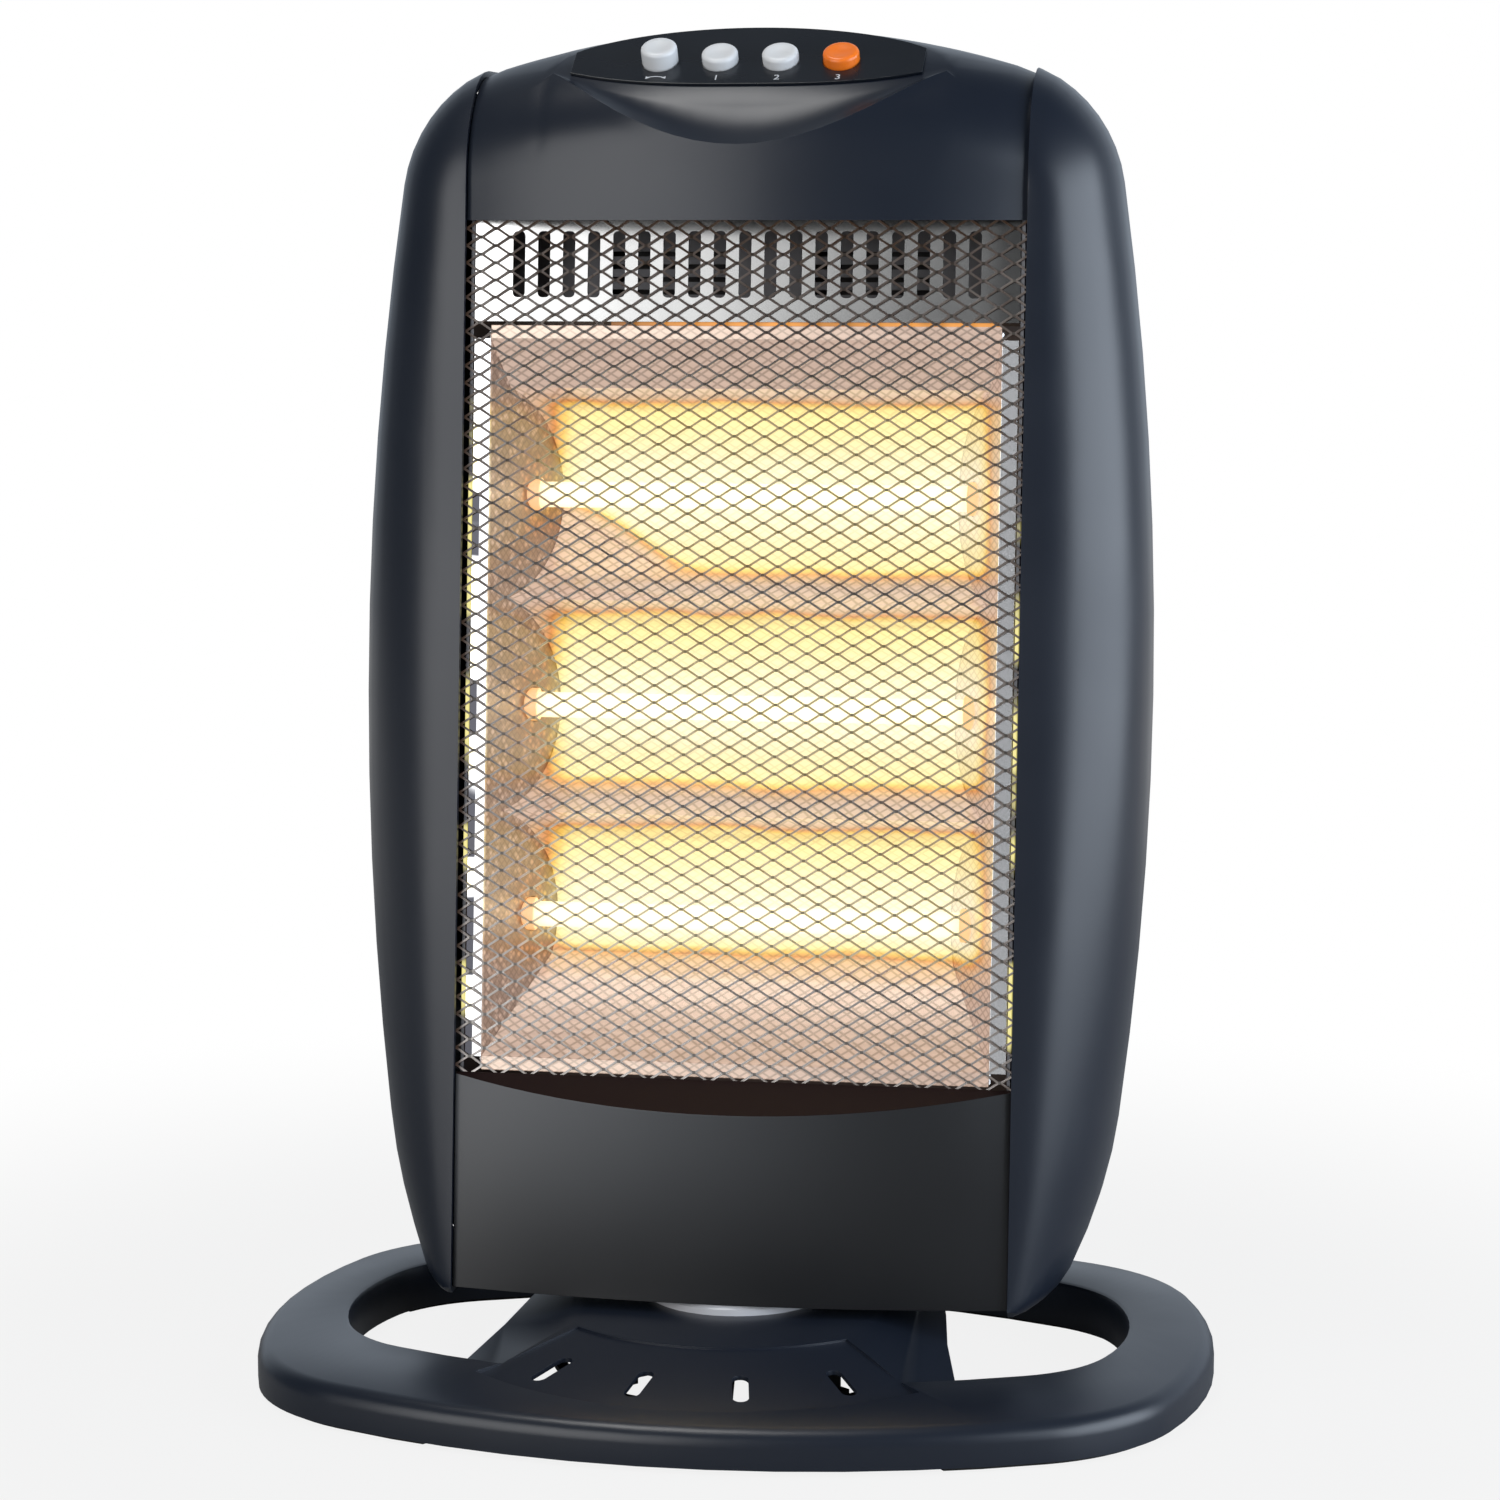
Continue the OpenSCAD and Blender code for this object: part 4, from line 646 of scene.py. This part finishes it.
def fold_light():
    """A strip at the fold, painted with the lamps' orange glow from its left third on."""
    material, tree, out = nodes_of("fold_light")
    place = lean_space(tree)
    waver = noise(tree, place, 60, 2)
    leak = times(tree, ease(tree, axes(tree, place)["X"], -0.052, -0.030, 0.1, 1.0),
                 ease(tree, waver, 0.3, 0.7, 0.55, 0.95))
    skin = node(tree, "BsdfPrincipled", Base_Color=(0.2, 0.1, 0.05, 1), Roughness=0.4,
                Metallic=1.0, Emission_Color=(0.80, 0.33, 0.07, 1), Emission_Strength=leak)
    tree.links.new(skin.outputs["BSDF"], out.inputs["Surface"])
    return material


fold_size, fold_place = (0.150, 0.0004, 0.0022), (0.023, 0.0060, 0.28985)
fold = bmesh.new()
bmesh.ops.create_cube(fold, size=1)
fold.transform(leaned @ Matrix.Translation(fold_place) @ Matrix.Diagonal((*fold_size, 1)))
put("fold_painted_glow", fold, "head", fold_light())

# ---------- reflector ----------
# One sheet of polished aluminium, folded into three troughs with a ridge between each, a
# sloping wall above and below, and flat lips at the front. The lamps' light on it is painted
# as a glow, and the guard's reflection is painted in fine lines.


def mirrored_guard(tree, place, amount, turn=0.0):
    """A painted reflection of the guard: fine crossing lines, fainter where the lamps glow."""
    where = axes(tree, place)
    across = math_node(tree, "MULTIPLY_ADD", where["Y"], turn, where["X"])
    lines = []
    for lean in (1.85, -1.85):
        rise = times(tree, where["Z"], lean / cell_h)
        wave = math_node(tree, "PINGPONG",
                         math_node(tree, "MULTIPLY_ADD", across, 2 / cell_w, rise), 0.5)
        lines.append(ease(tree, wave, 0.03, 0.2))
    line_level = ease(tree, amount, 0.1, 0.6, 0.62, 0.86)
    return node(tree, "MapRange", Value=times(tree, *lines), To_Min=line_level,
                To_Max=1.06).outputs["Result"]


def reflector_glow():
    """Polished sheet with fine drawing marks, and a painted glow from orange at its rim to pale
    yellow.
    """
    material, tree, out = nodes_of("reflector_glow")
    amount, up = heat(tree)
    place = lean_space(tree)
    brushed = node(tree, "Mapping", Vector=place, Scale=(0.05, 1, 1)).outputs["Vector"]
    streaks = noise(tree, brushed, 420, 3)
    ridges = node(tree, "Bump", Strength=0.25, Distance=0.0001, Height=streaks).outputs["Normal"]
    gloss = ease(tree, streaks, 0.3, 0.7, 0.15, 0.26)
    dim = times(tree, ease(tree, streaks, 0.25, 0.75, 0.93, 1.04),
                mirrored_guard(tree, place, amount))
    shade = mixed(tree, 1.0, glow_color(tree, amount, trough_glow), dim, "MULTIPLY")
    strength = ease(tree, up, 0.050, 0.036, 0.86, 0.8428)
    skin = node(tree, "BsdfPrincipled", Base_Color=(0.22, 0.19, 0.16, 1), Roughness=gloss,
                Metallic=1.0, Normal=ridges, Emission_Color=shade,
                Emission_Strength=strength).outputs["BSDF"]
    tree.links.new(skin, out.inputs["Surface"])
    return material


# colours of the painted glow, from the ridges to the lamps
trough_glow = ((0.0, (0.64, 0.46, 0.37)), (0.2, (0.66, 0.40, 0.24)), (0.36, (0.68, 0.25, 0.07)),
               (0.5, (0.90, 0.55, 0.10)), (0.62, (0.96, 0.78, 0.32)), (0.8, (0.98, 0.87, 0.50)),
               (1.0, (1.0, 0.94, 0.72)))
trough_half, trough_d, ridge_v, refl_front = lamp_pitch / 2, 0.032, 0.016, 0.0042
trough_r = (trough_half ** 2 + trough_d ** 2) / (2 * trough_d)
trough_c = ridge_v + trough_d - trough_r
reach = math.asin(trough_half / trough_r)
# the lowest trough is cut short under its lamp
low_cut, blank_half = 0.017, 0.101
low_reach = math.asin(low_cut / trough_r)
mouth_half, splay = 0.099, math.radians(25)
wall_top, wall_foot, lip, lip_y, refl_sheet = 0.2841, 0.006, 0.005, refl_front + 0.0004, 0.0006
reflector = bmesh.new()
blank_ends = [reflector.verts.new((x, trough_c + trough_r * math.cos(low_reach),
                                   lowest_lamp - low_cut)) for x in (-blank_half, blank_half)]
first = reflector.edges.new(blank_ends)
last = [*blank_ends, first]
for height, low in zip(lamp_w, (low_reach, reach, reach)):
    arc = bmesh.ops.spin(reflector, geom=last, cent=(0, trough_c, height), axis=(1, 0, 0),
                         dvec=(0, 0, 0), angle=low + reach, steps=40, use_merge=False,
                         use_duplicate=False)
    last = arc["geom_last"]
last = [part for part in last if isinstance(part, bmesh.types.BMEdge)][0]
for side, fold_line, height in ((1, last, wall_top), (-1, first, wall_foot)):
    wall = bmesh.ops.extrude_edge_only(reflector, edges=[fold_line])["geom"]
    front_ends = [part for part in wall if isinstance(part, bmesh.types.BMVert)]
    for corner in front_ends:
        corner.co.y, corner.co.z = lip_y, height
    front = [part for part in wall if isinstance(part, bmesh.types.BMEdge)
             and part.verts[0] in front_ends and part.verts[1] in front_ends]
    for corner in bmesh.ops.extrude_edge_only(reflector, edges=front)["geom"]:
        if isinstance(corner, bmesh.types.BMVert):
            corner.co.z += side * lip
for side in (1, -1):
    bmesh.ops.bisect_plane(
        reflector, geom=reflector.verts[:] + reflector.edges[:] + reflector.faces[:],
        plane_co=(side * mouth_half, refl_front, 0),
        plane_no=(side * math.cos(splay), math.sin(splay), 0), clear_outer=True)
bmesh.ops.recalc_face_normals(reflector, faces=reflector.faces)
bmesh.ops.solidify(reflector, geom=reflector.faces[:], thickness=refl_sheet)
reflector.transform(leaned)
put("folded_reflector", reflector, "head", reflector_glow(), smooth=28,
    edge=0.0003, cad=("reflector",))

# ---------- reflector end plates ----------
# Splayed plates of polished sheet with flat flanges at the front and holes for the lamps.
# A reflection of the guard is painted on them, and an orange glow round each lamp.


def end_steel():
    """Polished sheet: a painted glow and dotted guard reflection inside, plain and bright on the
    flanges.
    """
    material, tree, out = nodes_of("end_plate_steel")
    place = lean_space(tree)
    where = axes(tree, place)
    off = math_node(tree, "ABSOLUTE", above_lamp(tree, where["Z"]))
    near = times(tree, ease(tree, off, 0.004, 0.036, 1.0, 0.0),
                 ease(tree, where["Y"], 0.004, 0.034))
    amount = math_node(tree, "MAXIMUM", heat(tree)[0], times(tree, near, 0.42))
    # dark dots on the left plate, painted as the guard's dotted reflection
    speck = node(tree, "TexVoronoi", Vector=place, Scale=330).outputs["Distance"]
    spotted = times(tree, ease(tree, times(tree, speck, ease(tree, where["X"], 0.05, -0.05)),
                               0.1, 0.55, 1.0, 0.36), mirrored_guard(tree, place, amount, 1.4))
    shade = mixed(tree, 1.0, glow_color(tree, amount, trough_glow), spotted, "MULTIPLY")
    off_centre = math_node(tree, "ABSOLUTE", where["X"])
    inside = ease(tree, off_centre, 0.0982, 0.0992, 0.62, 0.0)
    outside = ease(tree, off_centre, 0.0982, 0.0992)
    tone = mixed(tree, outside, (0.22, 0.18, 0.16, 1), (0.82, 0.82, 0.83, 1))
    # painted patches of lamplight, with dark ones between, along the left flange's outer edge
    tall = node(tree, "Mapping", Vector=place, Scale=(0.1, 0.1, 1)).outputs["Vector"]
    patch = noise(tree, tall, 30, 1)
    rim = times(tree, ease(tree, where["X"], -0.1022, -0.1027),
                ease(tree, where["Z"], 0.262, 0.250))
    dim = times(tree, rim, ease(tree, patch, 0.52, 0.50))
    tone = mixed(tree, dim, tone, (0.06, 0.06, 0.07, 1))
    bright = times(tree, rim, ease(tree, patch, 0.53, 0.55, 0.0, 0.9))
    shade = mixed(tree, rim, shade, (0.85, 0.74, 0.30, 1))
    strength = math_node(tree, "MAXIMUM", inside, bright)
    skin = node(tree, "BsdfPrincipled", Base_Color=tone, Roughness=0.22, Metallic=1.0,
                Emission_Color=shade, Emission_Strength=strength).outputs["BSDF"]
    tree.links.new(skin, out.inputs["Surface"])
    return material


polished_ends = end_steel()
for side in ("left", "right"):
    recast("end_plate_" + side, "reflector_end_" + side, "head", polished_ends,
           edge=seam_edge)

# ---------- lamps ----------
# Three halogen lamps: a quartz tube with a tungsten coil on small rings, white hot, between
# two cement-filled ceramic ends that are clipped into a steel strip at each side.


def hot_quartz():
    """Clear quartz that shines with its filament's light, less near its ends."""
    material, tree, out = nodes_of("hot_quartz")
    off_centre = math_node(tree, "ABSOLUTE", axes(tree, lean_space(tree))["X"])
    fade = ease(tree, off_centre, 0.078, 0.088, 0.96, 0.4)
    body = node(tree, "BsdfPrincipled", Base_Color=(0.95, 0.9, 0.8, 1), Roughness=0.08,
                Coat_Weight=0.5, Emission_Color=(1.0, 0.92, 0.62, 1),
                Emission_Strength=fade).outputs["BSDF"]
    clear = node(tree, "BsdfTransparent", Color=(1.0, 0.95, 0.8, 1)).outputs["BSDF"]
    glass = node(tree, "MixShader", i0=0.35, i1=body, i2=clear).outputs["Shader"]
    tree.links.new(glass, out.inputs["Surface"])
    return material


def hot_tungsten():
    """Tungsten wire at white heat."""
    material, tree, out = nodes_of("hot_tungsten")
    warmth = ease(tree, noise(tree, object_space(tree), 400, 2), 0.3, 0.7, 1.6, 2.2)
    skin = node(tree, "BsdfPrincipled", Base_Color=(0.4, 0.38, 0.35, 1), Roughness=0.4,
                Metallic=1.0, Emission_Color=(1.0, 0.86, 0.55, 1), Emission_Strength=warmth)
    tree.links.new(skin.outputs["BSDF"], out.inputs["Surface"])
    return material


def cement_ceramic():
    """Rough ceramic, with a painted orange glow where it meets the tube."""
    material = plastic("cement_ceramic", (0.74, 0.66, 0.55), rough=0.6, grain=0.5, scale=500)
    tree = material.node_tree
    skin = tree.nodes["Principled BSDF"]
    off_centre = math_node(tree, "ABSOLUTE", axes(tree, lean_space(tree))["X"])
    tree.links.new(ease(tree, off_centre, 0.096, 0.086, 0.0, 0.8),
                   skin.inputs["Emission Strength"])
    skin.inputs["Emission Color"].default_value = (0.90, 0.42, 0.10, 1)
    return material


def add_part(target, part, place):
    """Puts a bmesh into another one at its place."""
    part.transform(place)
    mesh = bpy.data.meshes.new("part")
    part.to_mesh(mesh)
    part.free()
    target.from_mesh(mesh)
    bpy.data.meshes.remove(mesh)


lamp_v = 0.033
outer_wall, inner_wall = (0.005, 0.088), (0.004, 0.085)
wire_r, coil_r, coil_half, turns, turn_steps = 0.00022, 0.00105, 0.077, 92, 10
ring_r, ring_width, ring_spots = 0.0038, 0.0005, (-0.055, -0.0275, 0, 0.0275, 0.055)
lead_r, lead_length, lead_mid = 0.0004, 0.0082, 0.0809
tubes, coils = bmesh.new(), bmesh.new()
for height in lamp_w:
    axis = leaned @ Matrix.Translation((0, lamp_v, height)) @ Matrix.Rotation(math.pi / 2, 4, "Y")
    for radius, half in (outer_wall, inner_wall):
        tube = bmesh.new()
        bmesh.ops.create_cone(tube, cap_ends=True, segments=48, radius1=radius, radius2=radius,
                              depth=2 * half)
        if (radius, half) == inner_wall:
            bmesh.ops.reverse_faces(tube, faces=tube.faces)
        add_part(tubes, tube, axis)
    coil = bmesh.new()
    wire = bmesh.ops.create_circle(coil, segments=6, radius=wire_r)["verts"]
    bmesh.ops.rotate(coil, verts=wire, cent=(0, 0, 0),
                     matrix=Matrix.Rotation(math.pi / 2, 3, "X"))
    bmesh.ops.translate(coil, verts=wire, vec=(coil_r, 0, -coil_half))
    bmesh.ops.spin(coil, geom=wire + coil.edges[:], cent=(0, 0, 0), axis=(0, 0, 1),
                   dvec=(0, 0, 2 * coil_half / (turns * turn_steps)),
                   angle=2 * math.pi * turns, steps=turns * turn_steps, use_merge=False,
                   use_duplicate=False)
    for spot in ring_spots:
        ring = bmesh.ops.create_cone(coil, cap_ends=False, segments=32, radius1=ring_r,
                                     radius2=ring_r, depth=ring_width)["verts"]
        bmesh.ops.translate(coil, verts=ring, vec=(0, 0, spot))
    for side in (-1, 1):
        lead = bmesh.ops.create_cone(coil, cap_ends=True, segments=12, radius1=lead_r,
                                     radius2=lead_r, depth=lead_length)["verts"]
        bmesh.ops.translate(coil, verts=lead, vec=(0, 0, side * lead_mid))
    add_part(coils, coil, axis)
put("quartz_tubes", tubes, "head", hot_quartz(), cad=("lamp_tubes",))
put("tungsten_coils", coils, "head", hot_tungsten(), cad=("lamp_filaments",))
recast("ceramic_ends", "lamp_caps", "head", cement_ceramic(), edge=moulded_edge)

# ---------- chassis, swing drive and small parts ----------
# The steel parts are zinc plated; the crank and the terminal block are nylon. Lamplight
# that leaks through the fold at the tray's left edge is painted on in patches.

zinc = metal("zinc_plate", (0.52, 0.52, 0.52))
finish(zinc, "swivel_collar", "swivel_retainer", "swivel_screws", "pan_screws", "base_screws",
       "switch_bracket", "chassis_brackets", "swing_motor", "motor_screws", "motor_shaft",
       "lamp_holders", "thermal_cutout")
finish(nylon, "crank", "terminal_block")


def tray_steel():
    """Dull steel with painted yellow patches of leaked light along the tray's front edge."""
    material, tree, out = nodes_of("tray_steel")
    place = lean_space(tree)
    where = axes(tree, place)
    tall = node(tree, "Mapping", Vector=place, Scale=(0.1, 0.1, 1)).outputs["Vector"]
    leak = times(tree, ease(tree, noise(tree, tall, 26, 1), 0.48, 0.54),
                 ease(tree, where["Y"], 0.012, 0.004), ease(tree, where["Z"], 0.262, 0.250),
                 ease(tree, where["Z"], 0.0, 0.02))
    skin = node(tree, "BsdfPrincipled", Base_Color=(0.16, 0.16, 0.17, 1), Roughness=0.4,
                Metallic=1.0, Emission_Color=(0.85, 0.75, 0.25, 1), Emission_Strength=leak)
    tree.links.new(skin.outputs["BSDF"], out.inputs["Surface"])
    return material


finish(tray_steel(), "chassis")

# ---------- rear screws ----------
# Four screws of blackened steel with low domed heads. They hold the rear cover at its
# corners.

dark_steel = metal("black_screw_steel", (0.06, 0.06, 0.065), rough=0.4)
head_r, head_h, shank_r, shank_length = 0.0032, 0.0018, 0.0015, 0.02
rear_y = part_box("rear_screws")[1][1]
screws = bmesh.new()
for x, z in ((-0.084, 0.150), (-0.084, 0.405), (0.084, 0.150), (0.084, 0.405)):
    dome = bmesh.ops.create_uvsphere(screws, u_segments=32, v_segments=16,
                                     radius=head_r)["verts"]
    bmesh.ops.scale(screws, verts=dome, vec=(1, head_h / head_r, 1))
    inner = [corner for corner in dome if corner.co.y < -0.00001]
    bmesh.ops.delete(screws, geom=inner, context="VERTS")
    dome = [corner for corner in dome if corner.is_valid]
    bmesh.ops.translate(screws, verts=dome, vec=(x, rear_y - head_h, z))
    shank = bmesh.ops.create_cone(screws, cap_ends=True, segments=24, radius1=shank_r,
                                  radius2=shank_r, depth=shank_length)["verts"]
    bmesh.ops.rotate(screws, verts=shank, cent=(0, 0, 0),
                     matrix=Matrix.Rotation(math.pi / 2, 3, "X"))
    bmesh.ops.translate(screws, verts=shank, vec=(x, rear_y - head_h - shank_length / 2, z))
put("rear_screw_set", screws, "head", dark_steel, cad=("rear_screws",))
